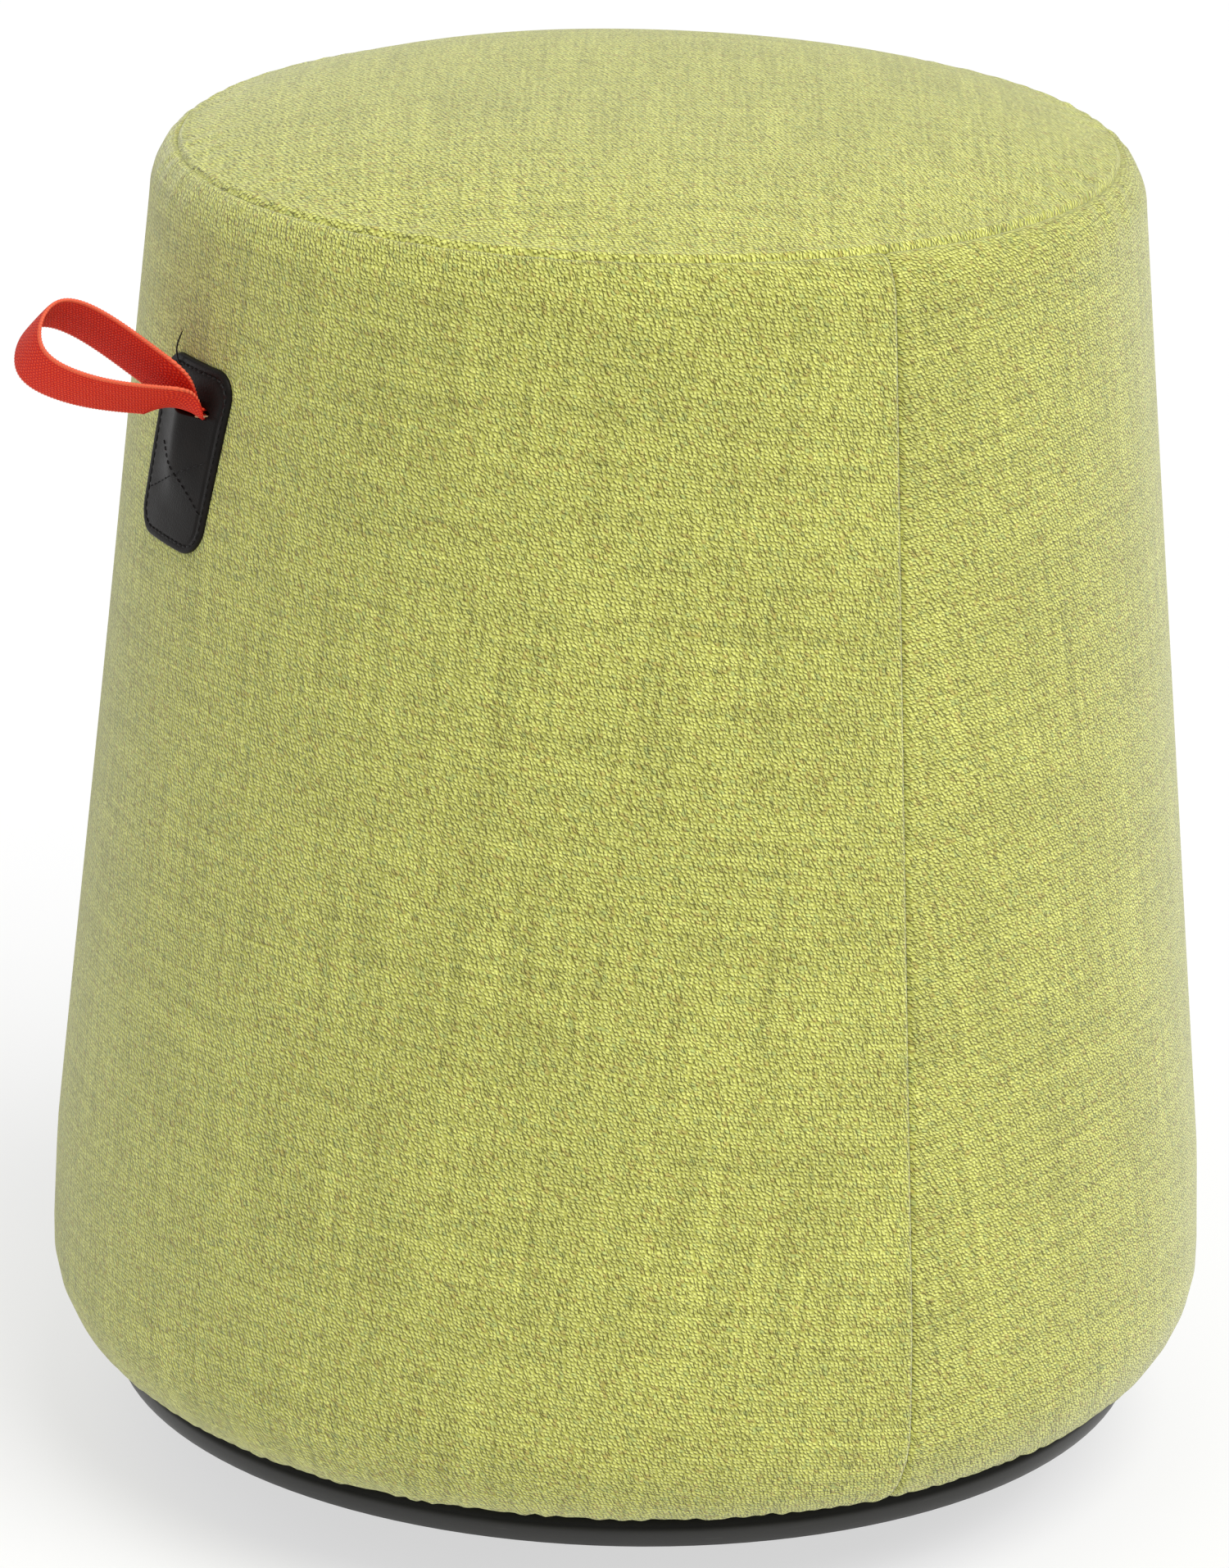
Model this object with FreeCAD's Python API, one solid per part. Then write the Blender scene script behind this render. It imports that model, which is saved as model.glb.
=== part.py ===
import FreeCAD, Part
import math
import os

# Upholstered rocking stool with a webbing pull loop. Millimetres, +Z up.
# The origin is the centre of the flat face that the stool stands on.

# ---- driving dimensions -------------------------------------------------------------------------
total_height = 450.0

# outside of the cover, as radius and height pairs on one upright profile
seam_radius = 147.7
seam_height = 431.6
side_top_radius = 155.9
side_top_height = 416.0
side_low_radius = 186.0
side_low_height = 103.0
widest_radius = 187.4
widest_height = 69.0
hem_radius = 176.3
hem_height = 40.9
seat_dome_power = 3.1

fabric = 1.5
layer_gap = 0.3

# base
foot_radius = 46.0
foot_gap = 0.6
rocker_radius = 282.5
base_rim_radius = 167.5
base_top = 37.6
plateau_radius = 148.0
floor_pad_radius = 45.0
floor_pad_thickness = 4.0

# boards and core
bottom_board_low = 42.0
bottom_board_thickness = 18.0
bottom_board_radius = 168.0
seat_board_thickness = 15.0
seat_board_top = 411.0
core_wrap_thickness = 3.5
core_low_radius = 160.0
core_high_radius = 131.0
upright_count = 4
upright_width = 44.0
upright_depth = 24.0
upright_first_angle = 45.0

# fasteners
base_screw_count = 6
base_screw_circle = 118.0
base_screw_radius = 3.0
base_head_radius = 6.0
base_head_height = 3.6
counterbore_radius = 7.0
tee_flange_radius = 10.0
tee_flange_thickness = 1.6
tee_barrel_radius = 4.4
wood_screw_radius = 2.2
wood_head_radius = 4.4
wood_screw_length = 60.0
staple_wire = 0.9
staple_crown = 10.0
staple_leg = 9.0
hem_staple_count = 40
hem_staple_circle = 160.0

# handle, on the side at this angle round +Z from -Y (negative is towards -X)
handle_angle = -59.6
patch_height_centre = 350.9
patch_width = 40.5
patch_height = 60.0
patch_corner = 9.5
patch_lean = 11.2
leather = 1.4
webbing_width = 20.0
webbing_thickness = 1.2
slit_height_centre = 366.8
slit_width = 23.0
slit_opening = 3.6
tail_length = 34.0
stitch_length = 2.3
stitch_width = 0.7
stitch_height = 0.5
stitch_pitch = 3.4
stitch_inset = 2.6

# cover details
lower_bulge_radius = 184.6
lower_bulge_height = 53.6
shoulder_radius = 153.6
shoulder_height = 425.0
shoulder_angle = 33.0
seam_angle = 62.0
seam_play = 0.2
side_seam_angle = 28.5
seam_gap_angle = 0.06
hem_fold_run = 5.0
hem_underside = 39.2
hem_end_radius = 151.0
seat_curve_steps = 8

# base details
base_shoulder = 34.6
rim_round_bulge = 0.9
base_head_seat = 20.0
tee_barrel_length = 12.0

# core details
wood_head_depth = 2.6
wood_tip_length = 8.0
wood_screw_offset = 12.0
wrap_play = 1.4
wrap_staple_rows = 6
wrap_staple_first = 85.0
wrap_staple_pitch = 55.0
wrap_staple_offset = 10.0
wrap_staple_leg = 12.0

# handle details
patch_gap = 0.2
slit_shift = 1.4
ridge_margin = 2.2
ridge_rise = 0.6
ridge_corner = 3.0
throat_drop = 0.4
throat_end = 6.6
backing = 1.5
backing_margin = 3.0
cross_centre_x = -4.8
cross_centre_z = 344.4
cross_ends = ((12.2, -7.5), (12.2, 6.4))
# the loop's line, as (outwards, over) pairs from the slit, and how it is turned there
loop_line = ((9.5, 2.2), (25.9, 15.8), (49.2, 23.5), (56.6, 9.6), (44.4, 0.5), (26.0, -1.8), (9.5, -0.8))
loop_steps = 24
loop_rise = 10.6
loop_yaw = -7.0
loop_twist = 38.0
loop_shift = 6.0
loop_lift = 3.4

side_slope = (side_low_radius - side_top_radius) / (side_top_height - side_low_height)


def vec(x, y, z):
    return FreeCAD.Vector(x, y, z)


def around(shape, angle):
    """A copy turned about +Z by an angle in degrees."""
    turned = shape.copy()
    turned.rotate(vec(0, 0, 0), vec(0, 0, 1), angle)
    return turned


def revolve(edges):
    """Turns a closed outline in the XZ plane about +Z."""
    face = Part.Face(Part.Wire(Part.__sortEdges__(edges)))
    return face.revolve(vec(0, 0, 0), vec(0, 0, 1), 360)


def line(a, b):
    return Part.makeLine(vec(a[0], 0, a[1]), vec(b[0], 0, b[1]))


def arc(a, middle, b):
    points = [vec(p[0], 0, p[1]) for p in (a, middle, b)]
    return Part.Arc(*points).toShape()


def side_radius(height):
    """The cover's outside radius on the straight taper of the side."""
    return side_low_radius - side_slope * (height - side_low_height)


def seat_height(radius):
    """The cover's outside height on the seat."""
    rise = total_height - seam_height
    return seam_height + rise * (1.0 - (radius / seam_radius) ** seat_dome_power)


def outline_points(inset):
    """The cover's outside profile moved inwards, from the hem up to the seam.

    Each point carries the direction of the outward normal there, in degrees above the horizontal.
    """
    slope_angle = math.degrees(math.atan(side_slope))
    bulge_angle = -2.0 * math.degrees(math.atan2(widest_radius - hem_radius, widest_height - hem_height))
    points = [
        (hem_radius, hem_height, bulge_angle),
        (lower_bulge_radius, lower_bulge_height, 0.5 * bulge_angle),
        (widest_radius, widest_height, 0.0),
        (side_low_radius, side_low_height, slope_angle),
        (side_top_radius, side_top_height, slope_angle),
        (shoulder_radius, shoulder_height, shoulder_angle),
        (seam_radius, seam_height, seam_angle),
    ]
    moved = []
    for radius, height, angle in points:
        turn = math.radians(angle)
        moved.append((radius - inset * math.cos(turn), height - inset * math.sin(turn)))
    return moved


def seat_curve(inset, edge_radius):
    """The seat's profile from its edge to the axis, moved down by inset along its normal."""
    rise = total_height - seam_height
    points = []
    for step in range(seat_curve_steps + 1):
        radius = edge_radius * (1.0 - step / seat_curve_steps)
        slope = rise * seat_dome_power / seam_radius * (radius / seam_radius) ** (seat_dome_power - 1.0)
        length = math.hypot(1.0, slope)
        points.append(vec(radius - inset * slope / length, 0, seat_height(radius) - inset / length))
    curve = Part.BSplineCurve()
    curve.interpolate(points)
    return curve.toShape(), (points[0].x, points[0].z), (0.0, points[-1].z)


def side_edges(points):
    """Edges of the side's profile: lower bulge, straight taper and shoulder."""
    hem, bulge, widest, low, top, shoulder, seam = points
    return [
        arc(hem, bulge, widest),
        line(widest, low),
        line(low, top),
        arc(top, shoulder, seam),
    ]


def cover_volume(inset):
    """Everything inside the cover's outside surface moved inwards by inset."""
    points = outline_points(inset)
    curve, edge, apex = seat_curve(inset, seam_radius)
    edges = side_edges(points)
    edges.append(line(points[-1], edge))
    edges.append(curve)
    edges.append(line(apex, (0.0, points[0][1])))
    edges.append(line((0.0, points[0][1]), points[0]))
    return revolve([e for e in edges if e.Length > 0.01])


def seat_cover():
    """Top fabric panel, from the axis to the top seam."""
    outer, outer_edge, outer_apex = seat_curve(0.0, seam_radius - seam_play)
    inner, inner_edge, inner_apex = seat_curve(fabric, seam_radius - seam_play)
    return revolve([line(inner_edge, outer_edge), outer, line(outer_apex, inner_apex), inner])


def side_cover():
    """The whole side of the cover, with its lower edge turned in under the bottom board."""
    outer = outline_points(0.0)
    inner = outline_points(fabric)
    fold_out = (outer[0][0] - hem_fold_run, hem_underside)
    fold_in = (fold_out[0], hem_underside + fabric)
    end_out = (hem_end_radius, hem_underside)
    end_in = (hem_end_radius, hem_underside + fabric)
    edges = side_edges(outer)
    edges.append(line(outer[-1], inner[-1]))
    edges += side_edges(inner)
    edges.append(line(inner[0], fold_in))
    edges.append(line(fold_in, end_in))
    edges.append(line(end_in, end_out))
    edges.append(line(end_out, fold_out))
    edges.append(line(fold_out, outer[0]))
    return revolve(Part.__sortEdges__(edges))


def wedge(start, sweep):
    """An upright sector from one angle in degrees, for cutting the side cover into panels."""
    reach = 2.0 * widest_radius
    sector = Part.makeCylinder(reach, total_height, vec(0, 0, 0), vec(0, 0, 1), sweep)
    return around(sector, start)


def side_panels():
    cover = side_cover()
    front_start = side_seam_angle - 270.0 + seam_gap_angle
    front = cover.common(wedge(front_start, 180.0 - 2.0 * seam_gap_angle))
    back = cover.common(wedge(front_start + 180.0, 180.0 - 2.0 * seam_gap_angle))
    return front, back


def disc(radius, low, thickness):
    return Part.makeCylinder(radius, thickness, vec(0, 0, low))


def ring_of(shape, count, first_angle=0.0):
    """Copies of one shape spaced evenly round +Z."""
    return [around(shape, first_angle + 360.0 * n / count) for n in range(count)]


def cut_all(shape, tools):
    for tool in tools:
        shape = shape.cut(tool)
    return shape


# ---- base -------------------------------------------------------------------------------------


def rocker_underside(radius):
    """Height of the domed underside outside the flat foot."""
    turn = math.asin((radius - foot_radius) / rocker_radius)
    return foot_gap + rocker_radius * (1.0 - math.cos(turn))


def rocker_base():
    """Moulded base: flat foot, domed underside, rounded rim and a plateau that meets the board."""
    recess = floor_pad_radius + layer_gap
    rim_low = rocker_underside(base_rim_radius)
    half_way = 0.5 * (foot_radius + base_rim_radius)
    rim_side = base_rim_radius + rim_round_bulge
    edges = [
        line((0.0, floor_pad_thickness + 0.5 * layer_gap), (recess, floor_pad_thickness + 0.5 * layer_gap)),
        line((recess, floor_pad_thickness + 0.5 * layer_gap), (recess, foot_gap)),
        line((recess, foot_gap), (foot_radius, foot_gap)),
        arc((foot_radius, foot_gap), (half_way, rocker_underside(half_way)), (base_rim_radius, rim_low)),
        arc((base_rim_radius, rim_low), (rim_side, 0.5 * (rim_low + base_shoulder)),
            (base_rim_radius, base_shoulder)),
        arc((base_rim_radius, base_shoulder), (base_rim_radius - 1.4, base_top - 0.9),
            (base_rim_radius - 4.0, base_top)),
        line((base_rim_radius - 4.0, base_top), (plateau_radius, base_top)),
        line((plateau_radius, base_top), (plateau_radius, bottom_board_low)),
        line((plateau_radius, bottom_board_low), (0.0, bottom_board_low)),
        line((0.0, bottom_board_low), (0.0, floor_pad_thickness + 0.5 * layer_gap)),
    ]
    body = revolve(edges)
    bore = Part.makeCylinder(counterbore_radius, base_head_seat, vec(base_screw_circle, 0, 0))
    hole = Part.makeCylinder(base_screw_radius + 0.4, total_height, vec(base_screw_circle, 0, 0))
    return cut_all(body, ring_of(bore, base_screw_count) + ring_of(hole, base_screw_count))


def floor_pad():
    return disc(floor_pad_radius, 0.0, floor_pad_thickness)


def base_screw():
    """Button-head machine screw with a hexagon socket, head down."""
    head = Part.makeCylinder(base_head_radius, base_head_height,
                             vec(base_screw_circle, 0, base_head_seat - base_head_height))
    head = head.makeFillet(1.4, [head.Edges[2]])
    length = bottom_board_low + bottom_board_thickness - base_head_seat
    shank = Part.makeCylinder(base_screw_radius, length, vec(base_screw_circle, 0, base_head_seat))
    return head.fuse(shank).removeSplitter()


def tee_nut():
    """Flanged nut pushed into the bottom board from above."""
    top = bottom_board_low + bottom_board_thickness
    flange = Part.makeCylinder(tee_flange_radius, tee_flange_thickness, vec(base_screw_circle, 0, top))
    barrel = Part.makeCylinder(tee_barrel_radius, tee_barrel_length,
                               vec(base_screw_circle, 0, top - tee_barrel_length))
    bore = Part.makeCylinder(base_screw_radius + 0.1, total_height, vec(base_screw_circle, 0, 0))
    return flange.fuse(barrel).removeSplitter().cut(bore)


# ---- boards, uprights and core wrap -------------------------------------------------------------


def bottom_board():
    board = disc(bottom_board_radius, bottom_board_low, bottom_board_thickness)
    hole = Part.makeCylinder(tee_barrel_radius + 0.1, total_height, vec(base_screw_circle, 0, 0))
    return cut_all(board, ring_of(hole, base_screw_count))


def seat_board():
    low = seat_board_top - seat_board_thickness
    return disc(core_high_radius, low, seat_board_thickness)


def upright():
    """Leaning batten between the boards, in the +X direction."""
    low = bottom_board_low + bottom_board_thickness
    high = seat_board_top - seat_board_thickness
    inside = core_wrap_thickness + layer_gap
    low_face = math.sqrt((core_low_radius - inside) ** 2 - (0.5 * upright_width) ** 2) - layer_gap
    high_face = math.sqrt((core_high_radius - inside) ** 2 - (0.5 * upright_width) ** 2) - layer_gap
    corners = [(low_face - upright_depth, low), (low_face, low), (high_face, high),
               (high_face - upright_depth, high)]
    points = [vec(r, -0.5 * upright_width, z) for r, z in corners]
    face = Part.Face(Part.makePolygon(points + points[:1]))
    return face.extrude(vec(0, upright_width, 0)), low_face, high_face


def wood_screw(radius, side, head_height, direction):
    """Countersunk wood screw along Z at one radius and sideways offset, pointing up or down."""
    start = vec(radius, side, head_height)
    along = vec(0, 0, direction)
    head = Part.makeCone(wood_head_radius, wood_screw_radius, wood_head_depth, start, along)
    shank = Part.makeCylinder(wood_screw_radius, wood_screw_length - wood_tip_length, start, along)
    tip_start = start + along * (wood_screw_length - wood_tip_length)
    tip = Part.makeCone(wood_screw_radius, 0.3, wood_tip_length, tip_start, along)
    return head.fuse(shank).fuse(tip).removeSplitter()


def board_screws(low_face, high_face):
    """Two screws into each end of every upright."""
    lower = []
    upper = []
    for side in (-wood_screw_offset, wood_screw_offset):
        low_radius = low_face - 0.5 * upright_depth
        high_radius = high_face - 0.5 * upright_depth
        lower += ring_of(wood_screw(low_radius, side, bottom_board_low + 0.2, 1), upright_count,
                         upright_first_angle)
        upper += ring_of(wood_screw(high_radius, side, seat_board_top - 0.2, -1), upright_count,
                         upright_first_angle)
    return lower, upper


def core_wrap():
    """Thin fibreboard cone round the uprights, between the two boards."""
    low = bottom_board_low + bottom_board_thickness + 0.1
    height = seat_board_top - seat_board_thickness - 0.1 - low
    outside = Part.makeCone(core_low_radius, core_high_radius, height, vec(0, 0, low))
    inside = Part.makeCone(core_low_radius - core_wrap_thickness, core_high_radius - core_wrap_thickness,
                           height, vec(0, 0, low))
    return outside.cut(inside)


def core_radius(height):
    """Outside radius of the core wrap at one height."""
    low = bottom_board_low + bottom_board_thickness
    high = seat_board_top - seat_board_thickness
    share = (height - low) / (high - low)
    return core_low_radius + (core_high_radius - core_low_radius) * share


def staple(leg):
    """Wire staple with its crown along X and its legs pointing up +Z."""
    crown = Part.makeBox(staple_crown, staple_wire, staple_wire, vec(-0.5 * staple_crown, 0, 0))
    left = Part.makeBox(staple_wire, staple_wire, leg, vec(-0.5 * staple_crown, 0, 0))
    right = Part.makeBox(staple_wire, staple_wire, leg, vec(0.5 * staple_crown - staple_wire, 0, 0))
    return crown.fuse(left).fuse(right).removeSplitter()


def hem_staples():
    one = staple(staple_leg)
    one.rotate(vec(0, 0, 0), vec(0, 0, 1), 90)
    one.translate(vec(hem_staple_circle, 0, hem_underside - staple_wire - 0.1))
    return ring_of(one, hem_staple_count, 4.5)


def core_wrap_staples():
    """Staples driven inwards through the core wrap into every upright."""
    made = []
    for step in range(wrap_staple_rows):
        height = wrap_staple_first + wrap_staple_pitch * step
        for side in (-wrap_staple_offset, wrap_staple_offset):
            one = staple(wrap_staple_leg)
            one.rotate(vec(0, 0, 0), vec(0, 1, 0), -90)
            radius = math.sqrt((core_radius(height) + staple_wire + 0.05) ** 2 - side ** 2)
            one.translate(vec(radius, side, height))
            made += ring_of(one, upright_count, upright_first_angle)
    return made


# ---- foam --------------------------------------------------------------------------------------


def seat_foam():
    above = disc(2.0 * widest_radius, seat_board_top + layer_gap, total_height)
    return cover_volume(fabric + layer_gap).common(above)


def side_foam():
    """Foam wrapped round the core and the bottom board's edge, up to the seat foam."""
    board_top = bottom_board_low + bottom_board_thickness
    low = bottom_board_low + layer_gap
    band = disc(2.0 * widest_radius, low, seat_board_top - low)
    body = cover_volume(fabric + layer_gap).common(band)
    board_room = disc(bottom_board_radius + layer_gap, 0.0, board_top + layer_gap)
    high = seat_board_top - seat_board_thickness
    core_room = Part.makeCone(core_low_radius + wrap_play, core_high_radius + wrap_play, high - board_top,
                              vec(0, 0, board_top))
    head_room = disc(core_high_radius + wrap_play, high, total_height)
    return cut_all(body, [board_room, core_room, head_room])


# ---- handle ------------------------------------------------------------------------------------
# Handle pieces are drawn facing -Y, as if seen from outside with +X to the right, and are then
# turned round to handle_angle.


def cone_shell(low_offset, high_offset):
    """The side's taper between two distances outside the cover, over the handle's heights."""
    low = patch_height_centre - patch_height
    high = patch_height_centre + patch_height
    outer = Part.makeCone(side_radius(low) + high_offset, side_radius(high) + high_offset, high - low,
                          vec(0, 0, low))
    inner = Part.makeCone(side_radius(low) + low_offset, side_radius(high) + low_offset, high - low,
                          vec(0, 0, low))
    return outer.cut(inner)


def leaning(x, z):
    """A point of the patch's plan after its lean, at the outside plane."""
    shift = math.tan(math.radians(patch_lean)) * (z - patch_height_centre)
    return vec(x + shift, -2.0 * widest_radius, z)


def leaning_prism(x_centre, z_centre, width, height, corner):
    """Rounded rectangle, leaned over like the patch and pushed through the side."""
    edges = []
    corners = []
    for sign_x, sign_z, start in ((1, 1, 0), (-1, 1, 90), (-1, -1, 180), (1, -1, 270)):
        centre_x = x_centre + sign_x * (0.5 * width - corner)
        centre_z = z_centre + sign_z * (0.5 * height - corner)
        knots = []
        for part in range(4):
            turn = math.radians(start + 30.0 * part)
            knots.append(leaning(centre_x + corner * math.cos(turn), centre_z + corner * math.sin(turn)))
        corners.append(knots)
    for number, knots in enumerate(corners):
        curve = Part.BSplineCurve()
        curve.interpolate(knots)
        edges.append(curve.toShape())
        edges.append(Part.makeLine(knots[-1], corners[(number + 1) % 4][0]))
    face = Part.Face(Part.Wire(edges))
    return face.extrude(vec(0, 1.6 * widest_radius, 0))


def slit_prism(extra):
    """The slit's opening, grown by extra all round."""
    return leaning_prism(slit_shift, slit_height_centre, slit_width + 2 * extra, slit_opening + 2 * extra,
                         0.5 * slit_opening + extra - 0.05)


def leather_patch():
    """Leather with a low ridge over the webbing's tail and a slit at the ridge's top."""
    plan = leaning_prism(0.0, patch_height_centre, patch_width, patch_height, patch_corner)
    sheet = plan.common(cone_shell(patch_gap, patch_gap + leather))
    ridge_centre = slit_height_centre - 0.5 * tail_length
    ridge_plan = leaning_prism(slit_shift, ridge_centre + ridge_rise, webbing_width + 2 * ridge_margin,
                               tail_length + 2 * ridge_margin, ridge_corner)
    tail_out = patch_gap + 2 * webbing_thickness + 2 * layer_gap
    ridge = ridge_plan.common(cone_shell(patch_gap, tail_out + leather))
    pocket_plan = leaning_prism(slit_shift, ridge_centre, webbing_width + 2 * layer_gap,
                                tail_length + 2 * layer_gap, 1.0)
    pocket = pocket_plan.common(cone_shell(0.0, tail_out))
    return sheet.fuse(ridge).removeSplitter().cut(pocket).cut(slit_prism(0.0))


def webbing_tail():
    """Both ends of the webbing, down inside the patch's ridge and out through its slit."""
    centre = slit_height_centre - 0.5 * tail_length
    plan = leaning_prism(slit_shift, centre, webbing_width, tail_length, 0.8)
    tail_out = patch_gap + 2 * webbing_thickness + layer_gap
    tail = plan.common(cone_shell(patch_gap + 0.1, tail_out))
    throat_plan = leaning_prism(slit_shift, slit_height_centre - throat_drop, webbing_width,
                                2 * webbing_thickness, 0.8)
    throat = throat_plan.common(cone_shell(patch_gap + 0.1, throat_end))
    return tail.fuse(throat).removeSplitter()


def loop_frame():
    """Directions of the loop: outwards, across the webbing and at right angles to both."""
    rise = math.radians(loop_rise)
    yaw = math.radians(loop_yaw)
    twist = math.radians(loop_twist)
    side = vec(math.cos(yaw), math.sin(yaw), 0)
    level = vec(math.sin(yaw), -math.cos(yaw), 0)
    outwards = level * math.cos(rise) + vec(0, 0, 1) * math.sin(rise)
    upwards = vec(0, 0, 1) * math.cos(rise) - level * math.sin(rise)
    across = side * math.cos(twist) + upwards * math.sin(twist)
    over = upwards * math.cos(twist) - side * math.sin(twist)
    return outwards, over, across


def slit_point():
    """Middle of the slit on the patch's outside, before turning to handle_angle."""
    lean = math.tan(math.radians(patch_lean)) * (slit_height_centre - patch_height_centre)
    return vec(slit_shift + lean, -(side_radius(slit_height_centre) + patch_gap), slit_height_centre)


def webbing_loop():
    """The loop outside the slit: one band bent round its own teardrop line."""
    outwards, over, across = loop_frame()
    start = slit_point() + vec(loop_shift, 0, loop_lift)
    middle = Part.BSplineCurve()
    middle.interpolate([start + outwards * x + over * y for x, y in loop_line])
    sides = ([], [])
    first = middle.FirstParameter
    last = middle.LastParameter
    for step in range(loop_steps + 1):
        value = first + (last - first) * step / loop_steps
        point = middle.value(value)
        along = vec(*middle.tangent(value)[0])
        normal = along.cross(across)
        normal.normalize()
        sides[0].append(point + normal * (0.5 * webbing_thickness))
        sides[1].append(point - normal * (0.5 * webbing_thickness))
    outer = Part.BSplineCurve()
    outer.interpolate(sides[0])
    inner = Part.BSplineCurve()
    inner.interpolate(sides[1])
    edges = [
        outer.toShape(),
        Part.makeLine(sides[0][-1], sides[1][-1]),
        inner.toShape(),
        Part.makeLine(sides[1][0], sides[0][0]),
    ]
    face = Part.Face(Part.Wire(Part.__sortEdges__(edges)))
    face.translate(across * (-0.5 * webbing_width))
    return face.extrude(across * webbing_width)


def backing_patch():
    """Stiff felt behind the fabric, let into the foam, that the patch is sewn to."""
    grown = 2 * backing_margin
    plan = leaning_prism(0.0, patch_height_centre, patch_width + grown, patch_height + grown, patch_corner)
    return plan.common(cone_shell(-fabric - backing - layer_gap, -fabric - layer_gap))


def stitch(x, z, angle, offset):
    """One short stitch lying on the side, at an angle in degrees above +X in the patch's plan."""
    bar = Part.makeBox(stitch_length, stitch_height, stitch_width,
                       vec(-0.5 * stitch_length, -stitch_height, -0.5 * stitch_width))
    bar.rotate(vec(0, 0, 0), vec(0, 1, 0), -angle)
    bar.rotate(vec(0, 0, 0), vec(1, 0, 0), -math.degrees(math.atan(side_slope)))
    radius = side_radius(z) + offset
    turn = math.degrees(x / radius)
    bar.translate(vec(0, -radius, z))
    return around(bar, turn)


def edge_stitches():
    """A row of stitches inside the patch's outline."""
    width = patch_width - 2 * stitch_inset
    height = patch_height - 2 * stitch_inset
    corner = patch_corner - stitch_inset
    straight_x = width - 2 * corner
    straight_z = height - 2 * corner
    bend = 0.5 * math.pi * corner
    lengths = [straight_x, bend, straight_z, bend, straight_x, bend, straight_z, bend]
    total = sum(lengths)
    count = int(total / stitch_pitch)
    made = []
    for number in range(count):
        left = total * number / count
        heading = 180.0
        x = 0.5 * straight_x
        z = 0.5 * height
        for index, length in enumerate(lengths):
            step = min(left, length)
            if index % 2 == 0:
                x += step * math.cos(math.radians(heading))
                z += step * math.sin(math.radians(heading))
            else:
                turn = math.degrees(step / corner)
                normal = math.radians(heading - 90.0)
                centre_x = x - corner * math.cos(normal)
                centre_z = z - corner * math.sin(normal)
                heading += turn
                normal = math.radians(heading - 90.0)
                x = centre_x + corner * math.cos(normal)
                z = centre_z + corner * math.sin(normal)
            left -= step
            if left <= 0:
                break
        shift = math.tan(math.radians(patch_lean)) * z
        made.append(stitch(x + shift, patch_height_centre + z, heading, patch_gap + leather + 0.05))
    return made


def patch_outside(x, z):
    """How far the leather's outside stands off the cover at one place in the patch's plan."""
    centre = slit_shift + math.tan(math.radians(patch_lean)) * (z - patch_height_centre)
    beside = abs(x - centre) > 0.5 * webbing_width + ridge_margin + 0.5 * stitch_length
    below = z < slit_height_centre - tail_length - ridge_margin
    if beside or below:
        return patch_gap + leather
    return patch_gap + 2 * webbing_thickness + 2 * layer_gap + leather


def cross_stitches():
    """The two crossing rows below the ridge, which hold the webbing's tail."""
    made = []
    for end_x, end_z in cross_ends:
        length = math.hypot(2 * end_x, 2 * end_z)
        count = int(length / stitch_pitch)
        angle = math.degrees(math.atan2(end_z, end_x))
        for number in range(count):
            share = 2.0 * (number + 0.5) / count - 1.0
            x = cross_centre_x + end_x * share
            z = cross_centre_z + end_z * share
            made.append(stitch(x, z, angle, patch_outside(x, z) + 0.05))
    return made


def leaning_backing_room():
    """The pocket in the foam that the backing patch lies in."""
    grown = 2 * (backing_margin + layer_gap)
    plan = leaning_prism(0.0, patch_height_centre, patch_width + grown, patch_height + grown, patch_corner)
    return plan.common(cone_shell(-fabric - backing - 2 * layer_gap, 0.0))


def solids_of(shapes):
    """One compound of separate solids."""
    return Part.makeCompound(shapes)


def faced(shape):
    """Turns a handle piece round to its own side of the stool."""
    return around(shape, handle_angle)


def build():
    """Every piece of the stool, by node name."""
    parts = {}
    parts["floor_pad"] = floor_pad()
    parts["rocker_base"] = rocker_base()
    parts["base_screws"] = solids_of(ring_of(base_screw(), base_screw_count))
    parts["base_tee_nuts"] = solids_of(ring_of(tee_nut(), base_screw_count))
    parts["bottom_board"] = bottom_board()
    parts["seat_board"] = seat_board()
    batten, low_face, high_face = upright()
    for number, batten_copy in enumerate(ring_of(batten, upright_count, upright_first_angle)):
        parts["upright_%d" % (number + 1)] = batten_copy
    lower, upper = board_screws(low_face, high_face)
    parts["lower_board_screws"] = solids_of(lower)
    parts["upper_board_screws"] = solids_of(upper)
    parts["core_wrap"] = core_wrap()
    parts["core_wrap_staples"] = solids_of(core_wrap_staples())
    parts["seat_foam"] = seat_foam()
    parts["side_foam"] = side_foam()
    parts["seat_cover"] = seat_cover()
    front, back = side_panels()
    parts["side_cover_front"] = front
    parts["side_cover_back"] = back
    parts["hem_staples"] = solids_of(hem_staples())
    parts["leather_patch"] = faced(leather_patch())
    parts["webbing_tail"] = faced(webbing_tail())
    parts["webbing_loop"] = faced(webbing_loop())
    backing_piece = faced(backing_patch())
    parts["backing_patch"] = backing_piece
    room = faced(leaning_backing_room())
    parts["side_foam"] = parts["side_foam"].cut(room)
    parts["patch_edge_stitches"] = solids_of([faced(s) for s in edge_stitches()])
    parts["cross_stitches"] = solids_of([faced(s) for s in cross_stitches()])
    return parts


os.makedirs("parts", exist_ok=True)
for node, shape in build().items():
    shape.exportStep("parts/%s.step" % node)
    print(node, shape.isValid(), len(shape.Solids), round(shape.Volume))
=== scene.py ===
import math
import random

import bpy
import numpy as np
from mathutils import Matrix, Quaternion, Vector


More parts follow.
